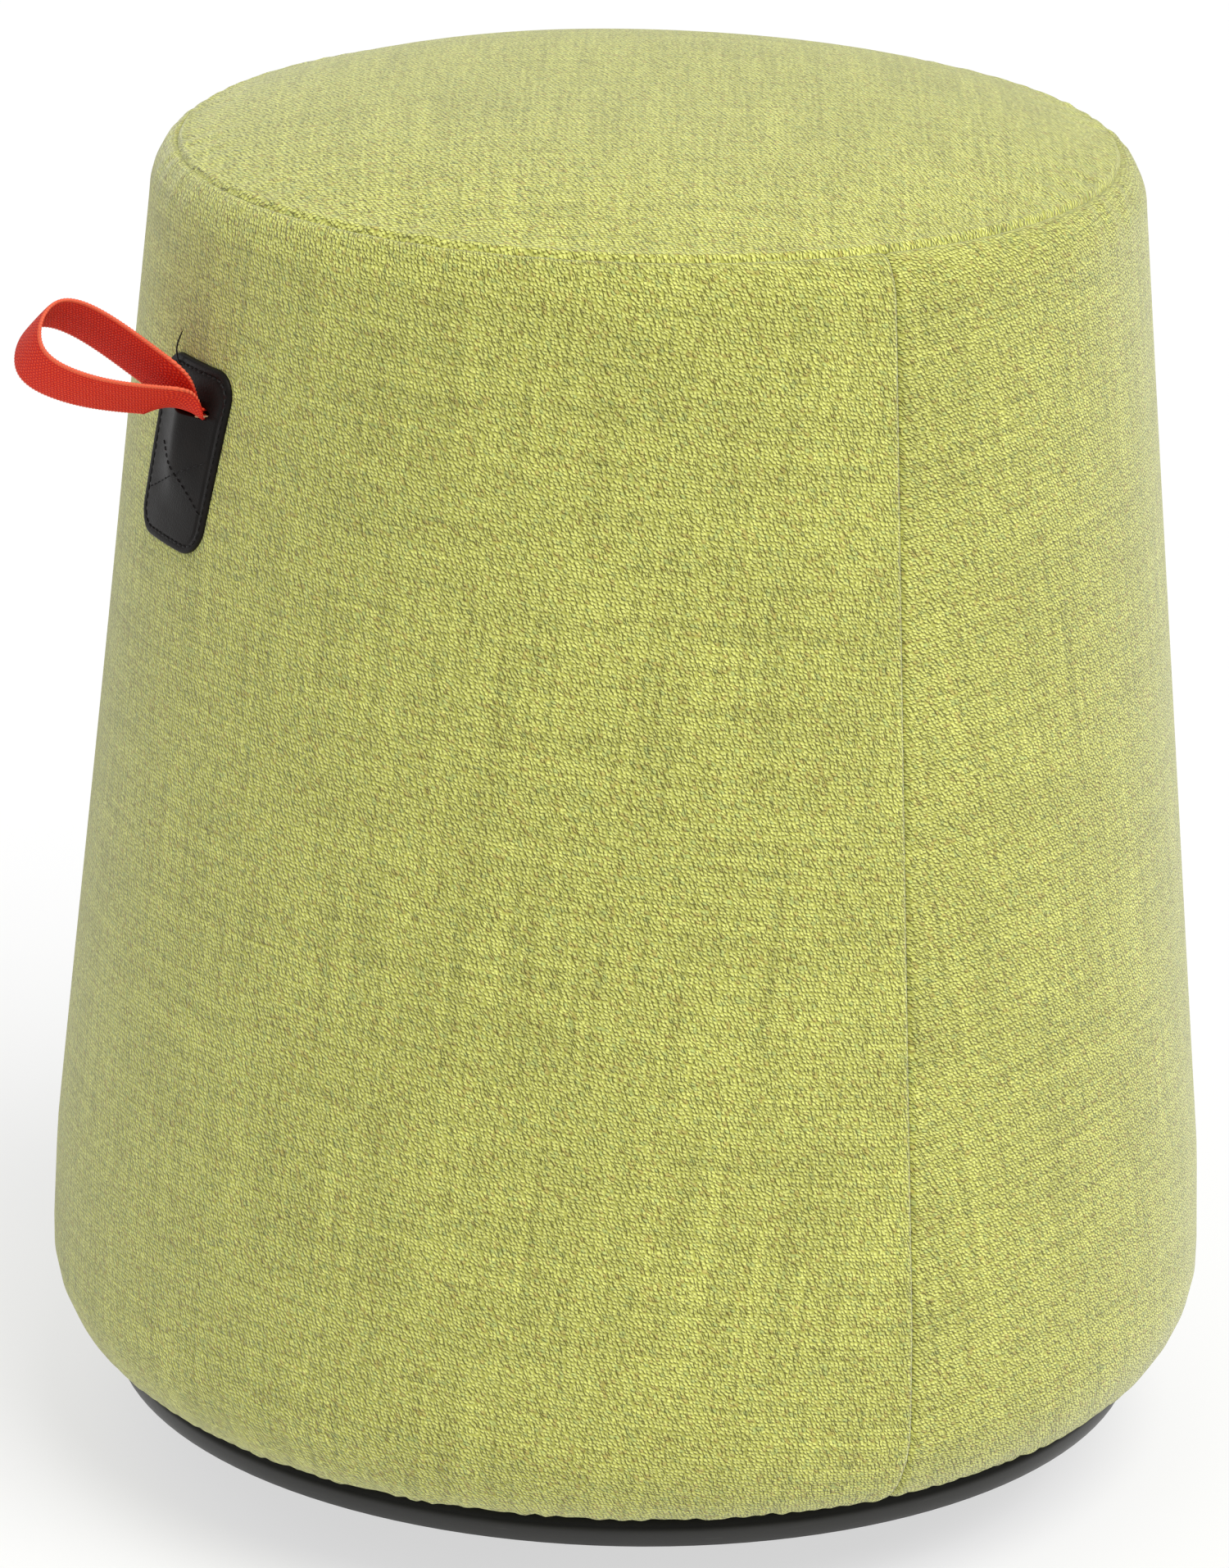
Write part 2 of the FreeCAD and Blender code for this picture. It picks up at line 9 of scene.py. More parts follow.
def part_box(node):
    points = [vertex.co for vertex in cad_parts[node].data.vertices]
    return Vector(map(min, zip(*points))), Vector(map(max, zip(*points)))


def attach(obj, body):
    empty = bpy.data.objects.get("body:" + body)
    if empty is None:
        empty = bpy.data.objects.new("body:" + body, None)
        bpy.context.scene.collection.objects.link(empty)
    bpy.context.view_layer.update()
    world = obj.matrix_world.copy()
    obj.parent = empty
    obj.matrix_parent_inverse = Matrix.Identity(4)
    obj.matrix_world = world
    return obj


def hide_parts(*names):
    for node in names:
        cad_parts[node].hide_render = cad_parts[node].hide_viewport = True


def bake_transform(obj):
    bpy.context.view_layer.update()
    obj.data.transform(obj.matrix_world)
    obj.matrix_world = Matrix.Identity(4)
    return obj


# Looks of an upholstered rocking stool with a webbing pull loop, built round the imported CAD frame.
# Everything is in metres, in the CAD's own frame: the stool stands on Z = 0 round the Z axis.

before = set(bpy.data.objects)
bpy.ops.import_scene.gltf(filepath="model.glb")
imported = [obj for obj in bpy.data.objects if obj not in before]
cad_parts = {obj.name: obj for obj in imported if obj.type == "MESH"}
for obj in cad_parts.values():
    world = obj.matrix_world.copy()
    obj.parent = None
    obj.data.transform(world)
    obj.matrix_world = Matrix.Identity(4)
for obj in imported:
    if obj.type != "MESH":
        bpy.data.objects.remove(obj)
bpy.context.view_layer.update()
scene = bpy.context.scene

# ---- sizes taken from the frame ----
side_low, side_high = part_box("side_cover_back")

TOTAL_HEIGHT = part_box("seat_cover")[1].z
SEAM_HEIGHT = side_high.z
WIDEST_RADIUS = side_high.y
HEM_UNDERSIDE = side_low.z

# ---- the cover's profile, as in the CAD model ----
SEAM_RADIUS = 0.1477
SHOULDER = (0.1536, 0.4250)
SIDE_TOP = (0.1559, 0.4160)
SIDE_LOW = (0.1860, 0.1030)
WIDEST_HEIGHT = 0.0690
LOWER_BULGE = (0.1846, 0.0536)
HEM = (0.1763, 0.0409)
HEM_FOLD_RADIUS = 0.1713
HEM_END_RADIUS = 0.1510
HEM_FOLD_MIDDLE = (0.5 * (HEM_FOLD_RADIUS + HEM[0]) + 0.0004, HEM_UNDERSIDE + 0.0003)
SEAT_DOME_POWER = 3.1
FABRIC = 0.0015
SEAM_GAP_ANGLE = 0.0004
SEAM_RUN = 0.035
SIDE_SEAM_ANGLE = math.radians(28.5)
SIDE_SLOPE = (SIDE_LOW[0] - SIDE_TOP[0]) / (SIDE_TOP[1] - SIDE_LOW[1])

# the base's colour is painted near black above these heights, a painted shade under the hem
BASE_SHADE_LOW = 0.0325
BASE_SHADE_HIGH = 0.0345

# the foam under the covers: how it is remeshed, made smaller, swollen and kept inside
FOAM_SHRINK = 0.0014
FOAM_PRESSURE = 4.0
FOAM_FRAMES = 20
FOAM_PLAY = 0.0006

# ---- the handle, facing -Y before it is turned to its angle ----
HANDLE_ANGLE = math.radians(-59.6)
PATCH_CENTRE = 0.3509
PATCH_WIDTH = 0.0405
PATCH_HEIGHT = 0.0600
PATCH_CORNER = 0.0095
PATCH_LEAN = math.tan(math.radians(11.2))
PATCH_GAP = 0.0002
LEATHER = 0.0014
SLIT_X = 0.0014
SLIT_HEIGHT = 0.3668
SLIT_HALF = 0.0115
WEBBING_WIDTH = 0.020
WEBBING_THICKNESS = 0.0012
STITCH_INSET = 0.0026
RIGHT_STITCH_INSET = 0.0010
STITCH_LENGTH = 0.0021
EDGE_STITCHES = 62
CROSS_STITCHES = 12
EDGE_THREAD = 0.00032
CROSS_THREAD = 0.00018
THREAD_END_RADIUS = 0.00027
CROSS_LINES = (((-0.0105, 0.3530), (0.0148, 0.3350)), ((-0.0200, 0.3352), (0.0165, 0.3522)))
RAW_EDGE_RADIUS = 0.00042

# the loop's middle line, as (outwards, over) from the slit; both ends run on into the slit
LOOP_LINE = ((0.0, 0.0010), (0.0259, 0.0158), (0.0492, 0.0235), (0.0560, 0.0088), (0.0444, 0.0005),
             (0.0260, -0.0016), (0.0, -0.0010))
LOOP_POINTS = 560
LOOP_COLUMNS = 26
LOOP_YAW = math.radians(-7.06)
LOOP_RISE = math.radians(10.6)
LOOP_TWIST = math.radians(37.8)
LOOP_TWIST_RUN = 0.0120
LOOP_SHIFT = 0.0066
LOOP_LIFT = 0.0036
SLIT_ANGLE = math.radians(-58.0)
ROOT_RUN = 0.015
TAIL_LENGTH = 0.0060
TAIL_POINTS = 30
PICOT_PITCH = 0.00105

# ---- small helpers ----


def smooth(value):
    """An S-shaped step from 0 to 1."""
    value = np.clip(value, 0.0, 1.0)
    return value * value * (3.0 - 2.0 * value)


def graded(count, crowding=0.85):
    """count + 1 numbers from 0 to 1 that crowd together at both ends."""
    even = np.linspace(0.0, 1.0, count + 1)
    return (1.0 - crowding) * even + crowding * 0.5 * (1.0 - np.cos(math.pi * even))


def ripple(angle, low_order, high_order, seed):
    """A random wave that closes on itself round the stool, about -1 to 1."""
    draw = random.Random(seed)
    total = np.zeros_like(angle)
    weight = 0.0
    for order in range(low_order, high_order + 1):
        size = draw.uniform(0.3, 1.0)
        total += size * np.cos(order * angle + draw.uniform(0.0, 2.0 * math.pi))
        weight += size * size
    return total / math.sqrt(2.0 * weight) * 1.2


def link_object(name, data):
    """A new object in the scene, showing a mesh, camera or light."""
    made = bpy.data.objects.new(name, data)
    scene.collection.objects.link(made)
    return made


def mesh_object(name, points, faces, material, uv=None):
    """A smooth-shaded mesh piece. uv holds one pair in metres for each vertex."""
    mesh = bpy.data.meshes.new(name)
    mesh.from_pydata(np.asarray(points).tolist(), [], [tuple(map(int, face)) for face in faces])
    if uv is not None:
        layer = mesh.uv_layers.new(name="Weave")
        loops = np.zeros(len(mesh.loops), np.int32)
        mesh.loops.foreach_get("vertex_index", loops)
        layer.data.foreach_set("uv", np.asarray(uv, np.float32)[loops].ravel())
    mesh.polygons.foreach_set("use_smooth", np.ones(len(mesh.polygons), bool))
    mesh.materials.append(material)
    mesh.validate()
    return link_object(name, mesh)


def grid_faces(rows, columns, first=0, wrap=False):
    """Quads of a grid of rows x columns points, numbered row by row from first."""
    across = columns if wrap else columns - 1
    row, column = np.meshgrid(np.arange(rows - 1), np.arange(across), indexing="ij")
    after = (column + 1) % columns
    corners = (row * columns + column, row * columns + after,
               (row + 1) * columns + after, (row + 1) * columns + column)
    return first + np.stack([c.ravel() for c in corners], axis=1)


def shell(outer, inner, wrap=False):
    """Points and quads of a sheet between two grids of points with the same layout.

    A sheet that wraps round is left open along its first row, for a cap to close.
    """
    rows, columns = outer.shape[:2]
    count = rows * columns
    faces = [grid_faces(rows, columns, 0, wrap), grid_faces(rows, columns, count, wrap)[:, ::-1]]
    numbers = np.arange(count).reshape(rows, columns)
    last_row = numbers[-1][::-1]
    if wrap:
        rims = [np.append(last_row, last_row[0])]
    else:
        rims = [numbers[0], last_row, numbers[:, 0][::-1], numbers[:, -1]]
    for rim in rims:
        faces.append(np.stack([rim[1:], rim[:-1], rim[:-1] + count, rim[1:] + count], axis=1))
    points = np.concatenate([outer.reshape(-1, 3), inner.reshape(-1, 3)])
    return points, np.concatenate(faces)


def arc(first, middle, last, count):
    """Points of the circle arc through three points of a profile, both ends included."""
    ax, ay = first
    bx, by = middle
    cx, cy = last
    d = 2.0 * (ax * (by - cy) + bx * (cy - ay) + cx * (ay - by))
    a2, b2, c2 = ax * ax + ay * ay, bx * bx + by * by, cx * cx + cy * cy
    x = (a2 * (by - cy) + b2 * (cy - ay) + c2 * (ay - by)) / d
    y = (a2 * (cx - bx) + b2 * (ax - cx) + c2 * (bx - ax)) / d
    start = math.atan2(ay - y, ax - x)
    turn = math.atan2(cy - y, cx - x) - start
    turn = (turn + math.pi) % (2.0 * math.pi) - math.pi
    angles = start + turn * np.linspace(0.0, 1.0, count)
    radius = math.hypot(ax - x, ay - y)
    return np.stack([x + radius * np.cos(angles), y + radius * np.sin(angles)], axis=1)


def run(first, last, count):
    """Points of a straight line, both ends included."""
    share = np.linspace(0.0, 1.0, count)[:, None]
    return np.asarray(first) * (1.0 - share) + np.asarray(last) * share


def along(points):
    """Distance along a line of points, starting at 0."""
    steps = np.linalg.norm(np.diff(points, axis=0), axis=1)
    return np.concatenate([[0.0], np.cumsum(steps)])


def evened(line, count):
    """The same flat line with count points at even distances along it."""
    distance = along(line)
    even = np.linspace(0.0, distance[-1], count)
    return np.stack([np.interp(even, distance, line[:, k]) for k in range(2)], axis=1)


def turned(points, angle):
    """Points turned about Z."""
    points = np.asarray(points, float)
    c, s = math.cos(angle), math.sin(angle)
    x = points[..., 0] * c - points[..., 1] * s
    y = points[..., 0] * s + points[..., 1] * c
    return np.stack([x, y, points[..., 2]], axis=-1)


def tube(path, radius, sides=7):
    """Points and faces of a thin closed tube with rounded ends along a path of points."""
    path = np.asarray(path, float)
    tangent = np.gradient(path, axis=0)
    tangent /= np.linalg.norm(tangent, axis=1)[:, None]
    axis = np.array([0.0, 0.0, 1.0]) if abs(tangent[0, 2]) < 0.8 else np.array([1.0, 0.0, 0.0])
    first = np.cross(tangent, axis)
    first /= np.linalg.norm(first, axis=1)[:, None]
    second = np.cross(tangent, first)
    share = np.linspace(0.0, 1.0, len(path))
    thick = radius * np.clip(np.minimum(share, 1.0 - share) * 6.0, 0.0, 1.0) ** 0.5
    thick = np.maximum(thick, 0.15 * radius)
    angles = np.linspace(0.0, 2.0 * math.pi, sides, endpoint=False)
    spokes = np.cos(angles)[None, :, None] * first[:, None] + np.sin(angles)[None, :, None] * second[:, None]
    rings = path[:, None] + thick[:, None, None] * spokes
    points = np.concatenate([rings.reshape(-1, 3), path[:1], path[-1:]])
    faces = [tuple(f) for f in grid_faces(len(path), sides, 0, True)]
    last = (len(path) - 1) * sides
    for k in range(sides):
        after = (k + 1) % sides
        faces.append((after, k, len(points) - 2))
        faces.append((last + k, last + after, len(points) - 1))
    return points, faces


def joined_object(name, parts, material):
    """One piece made of several (points, faces) meshes."""
    points, faces, first = [], [], 0
    for part_points, part_faces in parts:
        points.append(np.asarray(part_points))
        faces += [tuple(int(i) + first for i in f) for f in part_faces]
        first += len(part_points)
    return mesh_object(name, np.concatenate(points), faces, material)


# ---- shader helpers ----


class Paint:
    """One material's node tree, with short calls for the nodes that these materials use."""

    def __init__(self, name, **sockets):
        self.material = bpy.data.materials.new(name)
        self.material.use_nodes = True
        self.tree = self.material.node_tree
        self.shader = self.tree.nodes["Principled BSDF"]
        for socket, value in sockets.items():
            self.shader.inputs[socket.replace("_", " ")].default_value = value

    def put(self, kind, inputs=None, **settings):
        node = self.tree.nodes.new(kind)
        for setting, value in settings.items():
            setattr(node, setting, value)
        for key, value in (inputs or {}).items():
            if isinstance(value, bpy.types.NodeSocket):
                self.tree.links.new(value, node.inputs[key])
            else:
                node.inputs[key].default_value = value
        return node

    def math(self, operation, a, b=0.0):
        return self.put("ShaderNodeMath", {0: a, 1: b}, operation=operation).outputs[0]

    def times(self, a, b):
        return self.math("MULTIPLY", a, b)

    def plus(self, a, b):
        return self.math("ADD", a, b)

    def vector(self, operation, a, b):
        return self.put("ShaderNodeVectorMath", {0: a, 1: b}, operation=operation).outputs[0]

    def step(self, value, low, high, to_low=0.0, to_high=1.0):
        """Smooth step of a value between two limits."""
        node = self.put("ShaderNodeMapRange", {0: value, 1: low, 2: high, 3: to_low, 4: to_high},
                        interpolation_type="SMOOTHSTEP")
        return node.outputs[0]

    def noise(self, vector, scale, detail=2.0, roughness=0.5):
        return self.put("ShaderNodeTexNoise", {"Vector": vector, "Scale": scale, "Detail": detail,
                                               "Roughness": roughness}).outputs[0]

    def cells(self, vector, scale, randomness, dimensions="3D"):
        """Outputs of a Voronoi pattern."""
        return self.put("ShaderNodeTexVoronoi", {"Vector": vector, "Scale": scale, "Randomness": randomness},
                        voronoi_dimensions=dimensions).outputs

    def chances(self, colour):
        """Three random numbers from a cell's colour."""
        return self.put("ShaderNodeSeparateColor", {0: colour}).outputs

    def stretched(self, vector, x, y, z=1.0):
        """Coordinates scaled by given factors along each axis."""
        return self.vector("MULTIPLY", vector, (x, y, z))

    def split(self, vector):
        return self.put("ShaderNodeSeparateXYZ", {0: vector}).outputs

    def join(self, x, y, z=0.0):
        return self.put("ShaderNodeCombineXYZ", {0: x, 1: y, 2: z}).outputs[0]

    def mix(self, factor, a, b, blend="MIX"):
        node = self.put("ShaderNodeMix", {0: factor, 6: a, 7: b}, data_type="RGBA", blend_type=blend)
        return node.outputs[2]

    def place(self):
        return self.put("ShaderNodeTexCoord").outputs["Object"]

    def uv(self):
        return self.put("ShaderNodeUVMap", uv_map="Weave").outputs[0]

    def set(self, socket, value):
        self.tree.links.new(value, self.shader.inputs[socket])

    def bump(self, height, distance, strength=1.0):
        node = self.put("ShaderNodeBump", {"Height": height, "Distance": distance, "Strength": strength})
        self.set("Normal", node.outputs[0])


def rgb(r, g, b):
    """A linear colour."""
    return (r, g, b, 1.0)


def grey(value):
    return rgb(value, value, value)


def cloth_floats(paint, flat, u, v):
    """The weave's rounded floats: their loft, three random numbers each, fibres and the gaps between."""
    across = paint.plus(paint.math("DIVIDE", u, 0.00132), paint.times(v, 300.0))
    lattice = paint.join(across, paint.math("DIVIDE", v, 0.00116))
    cell = paint.cells(lattice, 1.0, 0.55, "2D")
    reach = cell["Distance"]
    loft = paint.step(reach, 0.70, 0.10)
    chances = paint.chances(cell["Color"])
    fibre = paint.noise(flat, 2300.0, 3.0, 0.6)
    from_middle = paint.vector("SUBTRACT", lattice, cell["Position"])
    side = paint.put("ShaderNodeVectorMath", {0: from_middle, 1: (-0.78, -0.62, 0.0)},
                     operation="DOT_PRODUCT").outputs["Value"]
    side = paint.math("DIVIDE", side, paint.plus(reach, 0.01))
    broken = paint.noise(flat, 950.0, 1.0)
    ring = paint.step(paint.math("ABSOLUTE", paint.math("SUBTRACT", reach, 0.40)), 0.26, 0.08)
    gap = paint.times(ring, paint.step(side, 0.10, 0.60))
    gap = paint.times(gap, paint.step(broken, 0.30, 0.46))
    return loft, chances, fibre, gap


def cloth_dashes(paint, u, v):
    """Short dark dashes that slant across the weave."""
    slant = math.radians(-62.0)
    long_pitch, side_pitch = 0.0036, 0.0019
    lengthwise = paint.plus(paint.times(u, math.cos(slant) / long_pitch),
                            paint.times(v, math.sin(slant) / long_pitch))
    sideways = paint.plus(paint.times(u, -math.sin(slant) / side_pitch),
                          paint.times(v, math.cos(slant) / side_pitch))
    dash_at = paint.join(sideways, lengthwise)
    cell = paint.cells(dash_at, 1.0, 0.65, "2D")
    offset = paint.vector("SUBTRACT", dash_at, cell["Position"])
    off_side, off_long, _ = paint.split(offset)
    chosen = paint.chances(cell["Color"])[0]
    dash = paint.times(paint.step(paint.math("ABSOLUTE", off_side), 0.12, 0.04),
                      paint.step(paint.math("ABSOLUTE", off_long), 0.40, 0.26))
    return paint.times(dash, paint.step(chosen, 0.30, 0.60))


def cloth_streaks(paint, flat):
    """Narrow rows of the weave on their own, and those with columns and wide streaks added."""
    rows = paint.noise(paint.stretched(flat, 16.0, 620.0), 1.0, 2.0)
    columns = paint.noise(paint.stretched(flat, 560.0, 12.0), 1.0, 2.0)
    wide_columns = paint.noise(paint.stretched(flat, 85.0, 7.0), 1.0, 3.0)
    wide_rows = paint.noise(paint.stretched(flat, 7.0, 105.0), 1.0, 3.0)
    streaks = paint.plus(paint.times(rows, 0.62), paint.times(columns, 0.66))
    streaks = paint.plus(streaks, paint.times(wide_columns, 0.20))
    return rows, paint.plus(streaks, paint.times(wide_rows, 0.20))


def fabric_material(name, tone_shift):
    """Slubby lime upholstery cloth: small rounded floats, broken dark gaps and slanting dark dashes. The
    floats are painted lighter at their crowns and the gaps dark, partly the yarn's own tone and partly
    painted light and shade on the weave's relief.
    """
    paint = Paint(name, Roughness=0.88, Specular_IOR_Level=0.12, Sheen_Weight=0.58,
                  Sheen_Roughness=0.42, Sheen_Tint=rgb(1.0, 1.0, 0.93))
    flat = paint.uv()
    wander = paint.put("ShaderNodeTexNoise", {"Vector": flat, "Scale": 240.0, "Detail": 2.0}).outputs["Color"]
    wander = paint.vector("SUBTRACT", wander, (0.5, 0.5, 0.5))
    wander = paint.vector("ADD", flat, paint.vector("MULTIPLY", wander, (0.0016, 0.0013, 0.0)))
    u, v, _ = paint.split(wander)
    loft, (lucky, speck, tone), fibre, gap = cloth_floats(paint, flat, u, v)
    dash = cloth_dashes(paint, u, v)
    rows, streaks = cloth_streaks(paint, flat)
    light = paint.plus(streaks, paint.times(lucky, 0.12))
    light = paint.plus(light, paint.times(fibre, 0.62))
    light = paint.plus(light, tone_shift)

    # Painted highlight and shade: each float's crown is painted lighter and its rim darker, partly the yarn's
    # own tone and partly painted light on its rounded top.
    colour = paint.mix(paint.step(loft, 0.1, 0.9), rgb(0.44, 0.447, 0.095), rgb(0.70, 0.716, 0.205))
    colour = paint.mix(paint.step(speck, 0.88, 0.96, 0.0, 0.55), colour, rgb(0.42, 0.31, 0.085))
    colour = paint.mix(paint.step(tone, 0.90, 0.97, 0.0, 0.5), colour, rgb(0.36, 0.46, 0.16))
    # The gaps are painted near black, partly the weave's own tone and partly painted shade in its hollows;
    # the dashes are the weave's own dark pattern.
    dark = paint.math("MAXIMUM", paint.times(gap, 0.88), paint.times(dash, 0.88))
    colour = paint.mix(dark, colour, rgb(0.105, 0.098, 0.016))
    colour = paint.mix(1.0, colour, paint.join(light, light, light), "MULTIPLY")
    paint.set("Base Color", colour)

    height = paint.plus(paint.times(loft, 0.35), paint.times(fibre, 0.7))
    height = paint.plus(height, paint.times(rows, 0.4))
    height = paint.math("SUBTRACT", height, paint.times(dark, 0.7))
    paint.bump(height, 0.00022)
    return paint.material


def leather_material():
    """Nearly black leather with a fine grain and faint wear."""
    paint = Paint("black_leather", Specular_IOR_Level=0.09)
    at = paint.place()
    grain = paint.cells(at, 1500.0, 1.0)[0]
    fine = paint.noise(at, 3800.0, 3.0)
    cloud = paint.noise(at, 95.0, 4.0)
    colour = paint.mix(paint.step(cloud, 0.35, 0.7), rgb(0.0075, 0.0062, 0.0054), rgb(0.0120, 0.0098, 0.0084))
    colour = paint.mix(paint.step(grain, 0.5, 0.9), colour, rgb(0.009, 0.008, 0.007))
    paint.set("Base Color", colour)
    paint.set("Roughness", paint.step(cloud, 0.2, 0.8, 0.38, 0.48))
    height = paint.plus(paint.times(grain, -0.6), paint.times(fine, 0.5))
    paint.bump(height, 0.00008)
    return paint.material


def webbing_material():
    """Bright red narrow webbing: fine slanting floats with painted highlights on their crests, ribs across
    and beaded edges.
    """
    paint = Paint("red_webbing", Roughness=0.62, Specular_IOR_Level=0.14, Sheen_Weight=0.05,
                  Sheen_Roughness=0.5, Sheen_Tint=rgb(1.0, 0.55, 0.45))
    u, v, _ = paint.split(paint.uv())
    wander = paint.noise(paint.uv(), 260.0, 1.0)
    v = paint.plus(v, paint.times(wander, 0.0004))
    lane = paint.math("DIVIDE", u, 0.00125)
    lane_number = paint.math("FLOOR", lane)
    swing = paint.times(paint.math("MODULO", paint.math("ABSOLUTE", lane_number), 2.0), 2.0)
    lean = paint.times(paint.math("SUBTRACT", swing, 1.0), paint.math("FRACT", lane))
    phase = paint.plus(paint.math("DIVIDE", v, PICOT_PITCH), paint.times(lean, 0.55))
    float_wave = paint.math("SINE", paint.times(phase, 2.0 * math.pi))
    lane_wave = paint.math("SINE", paint.times(paint.math("FRACT", lane), math.pi))
    weave = paint.times(paint.plus(paint.times(float_wave, 0.5), 0.5), lane_wave)
    fibre = paint.noise(paint.stretched(paint.uv(), 900.0, 2600.0), 1.0, 2.0)
    # Painted highlight and shade: the floats' crests are painted lighter and their hollows darker, and the
    # brightest colour, where the fibre noise peaks, is a painted highlight.
    colour = paint.mix(paint.step(weave, 0.0, 0.75), rgb(0.55, 0.013, 0.007), rgb(0.90, 0.046, 0.011))
    colour = paint.mix(paint.step(paint.times(weave, fibre), 0.34, 0.62), colour, rgb(0.98, 0.115, 0.026))
    picot = paint.step(paint.math("ABSOLUTE", u), 0.0088, 0.0098, 0.0, 0.55)
    colour = paint.mix(picot, colour, rgb(0.96, 0.24, 0.12))
    paint.set("Base Color", colour)
    height = paint.plus(weave, paint.times(fibre, 0.25))
    paint.bump(height, 0.00022)
    return paint.material


def base_material():
    """Black moulded plastic with a fine spark-eroded grain and faint scuffs; above the hem's line its colour
    is painted near black as painted shade under the hem, and it is rougher there.
    """
    paint = Paint("moulded_black", Specular_IOR_Level=0.5)
    at = paint.place()
    grain = paint.noise(at, 2400.0, 3.0, 0.6)
    cloud = paint.noise(at, 24.0, 4.0)
    scuff = paint.step(paint.noise(paint.stretched(at, 60.0, 60.0, 900.0), 1.0, 3.0), 0.62, 0.76)
    colour = paint.mix(cloud, rgb(0.017, 0.0168, 0.0155), rgb(0.026, 0.0255, 0.0235))
    colour = paint.mix(paint.times(scuff, 0.3), colour, rgb(0.055, 0.054, 0.050))
    # Painted shade: the base's top, in the hem's shadow, is painted near black and made rougher.
    painted_shade_under_hem = paint.step(paint.split(at)[2], BASE_SHADE_LOW, BASE_SHADE_HIGH)
    colour = paint.mix(painted_shade_under_hem, colour, grey(0.003))
    paint.set("Base Color", colour)
    smooth_skin = paint.step(cloud, 0.25, 0.75, 0.36, 0.46)
    paint.set("Roughness", paint.plus(smooth_skin, paint.times(painted_shade_under_hem, 0.5)))
    paint.bump(grain, 0.00006)
    return paint.material


def thread_material():
    """Black sewing thread with its ply."""
    paint = Paint("black_thread", Roughness=0.6, Specular_IOR_Level=0.3)
    at = paint.place()
    ply = paint.put("ShaderNodeTexWave", {"Vector": at, "Scale": 900.0, "Distortion": 1.5},
                    bands_direction="DIAGONAL").outputs[1]
    paint.set("Base Color", paint.mix(ply, grey(0.004), rgb(0.014, 0.013, 0.012)))
    paint.bump(ply, 0.00008)
    return paint.material


def wood_material(name, pale, dark, rings, plies=0.0):
    """Wood with long grain in the XY plane, and ply lines in its height where plies is above 0."""
    paint = Paint(name, Roughness=0.62, Specular_IOR_Level=0.3)
    at = paint.place()
    long_grain = paint.noise(paint.stretched(at, 14.0, 230.0, 230.0), 1.0, 4.0, 0.6)
    ring = paint.put("ShaderNodeTexWave", {"Vector": paint.stretched(at, 0.35, 1.0, 1.0), "Scale": rings,
                                           "Distortion": 7.0, "Detail": 3.0}).outputs[1]
    grain = paint.times(long_grain, ring)
    colour = paint.mix(paint.step(grain, 0.05, 0.6), dark, pale)
    if plies:
        height = paint.split(at)[2]
        layer = paint.math("SINE", paint.times(height, 2.0 * math.pi / plies))
        colour = paint.mix(paint.step(layer, 0.55, 0.9, 0.0, 0.45), colour, dark)
    paint.set("Base Color", colour)
    paint.set("Roughness", paint.step(grain, 0.0, 0.8, 0.52, 0.72))
    paint.bump(grain, 0.0002)
    return paint.material


def speckled_material(name, first, second, scale, rough=(0.7, 0.9), depth=0.0002, metal=0.0):
    """Foam, felt, fibreboard, rubber or plated steel: two tones mixed by a fine noise."""
    paint = Paint(name, Metallic=metal, Specular_IOR_Level=0.5 if metal else 0.25)
    at = paint.place()
    fine = paint.noise(at, scale, 4.0, 0.65)
    cloud = paint.noise(at, scale * 0.04, 3.0)
    colour = paint.mix(paint.step(fine, 0.35, 0.65), first, second)
    colour = paint.mix(paint.step(cloud, 0.35, 0.75, 0.0, 0.35), colour, first)
    paint.set("Base Color", colour)
    paint.set("Roughness", paint.step(fine, 0.3, 0.7, rough[0], rough[1]))
    paint.bump(fine, depth)
    return paint.material


# The seat's copy of the cloth is painted paler than the side's (tone -0.10 against -0.22), a painted
# highlight where the top catches more light.
COVER_CLOTH = fabric_material("cover_cloth", -0.22)
SEAT_CLOTH_PAINTED_PALER = fabric_material("seat_cloth_painted_paler", -0.10)
LEATHER_SKIN = leather_material()
WEBBING_CLOTH = webbing_material()
BASE_PLASTIC = base_material()
THREAD = thread_material()
FOAM = speckled_material("upholstery_foam", rgb(0.70, 0.66, 0.50), rgb(0.84, 0.81, 0.68), 900.0,
                         (0.85, 0.97), 0.0006)
RAW_EDGE = speckled_material("raw_leather_edge", rgb(0.42, 0.25, 0.12), rgb(0.62, 0.42, 0.24), 1800.0)
INNER_MATERIALS = {
    "floor_pad": speckled_material("pad_rubber", grey(0.012), grey(0.03), 1400.0),
    "bottom_board": wood_material("birch_ply", rgb(0.62, 0.44, 0.26), rgb(0.36, 0.22, 0.11), 26.0, 0.0026),
    "core_wrap": speckled_material("hardboard", rgb(0.20, 0.115, 0.055), rgb(0.34, 0.21, 0.11), 1300.0),
    "base_screws": speckled_material("zinc_plate", rgb(0.55, 0.55, 0.52), rgb(0.72, 0.71, 0.68), 700.0,
                                     (0.28, 0.42), 0.00003, 1.0),
    "backing_patch": speckled_material("grey_felt", grey(0.07), grey(0.15), 1100.0),
    "upright_1": wood_material("pine_batten", rgb(0.70, 0.52, 0.31), rgb(0.46, 0.28, 0.13), 34.0),
}
SAME_MATERIAL = {
    "seat_board": "bottom_board", "base_tee_nuts": "base_screws", "lower_board_screws": "base_screws",
    "upper_board_screws": "base_screws", "core_wrap_staples": "base_screws", "hem_staples": "base_screws",
    "upright_2": "upright_1", "upright_3": "upright_1", "upright_4": "upright_1",
}


def finish_cad_nodes():
    """Every CAD node that stays gets a worked material."""
    for node, cad_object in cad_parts.items():
        material = INNER_MATERIALS.get(SAME_MATERIAL.get(node, node))
        if node == "rocker_base":
            material = BASE_PLASTIC
        if material is not None:
            cad_object.data.materials.clear()
            cad_object.data.materials.append(material)


# ---- the cover's surfaces ----


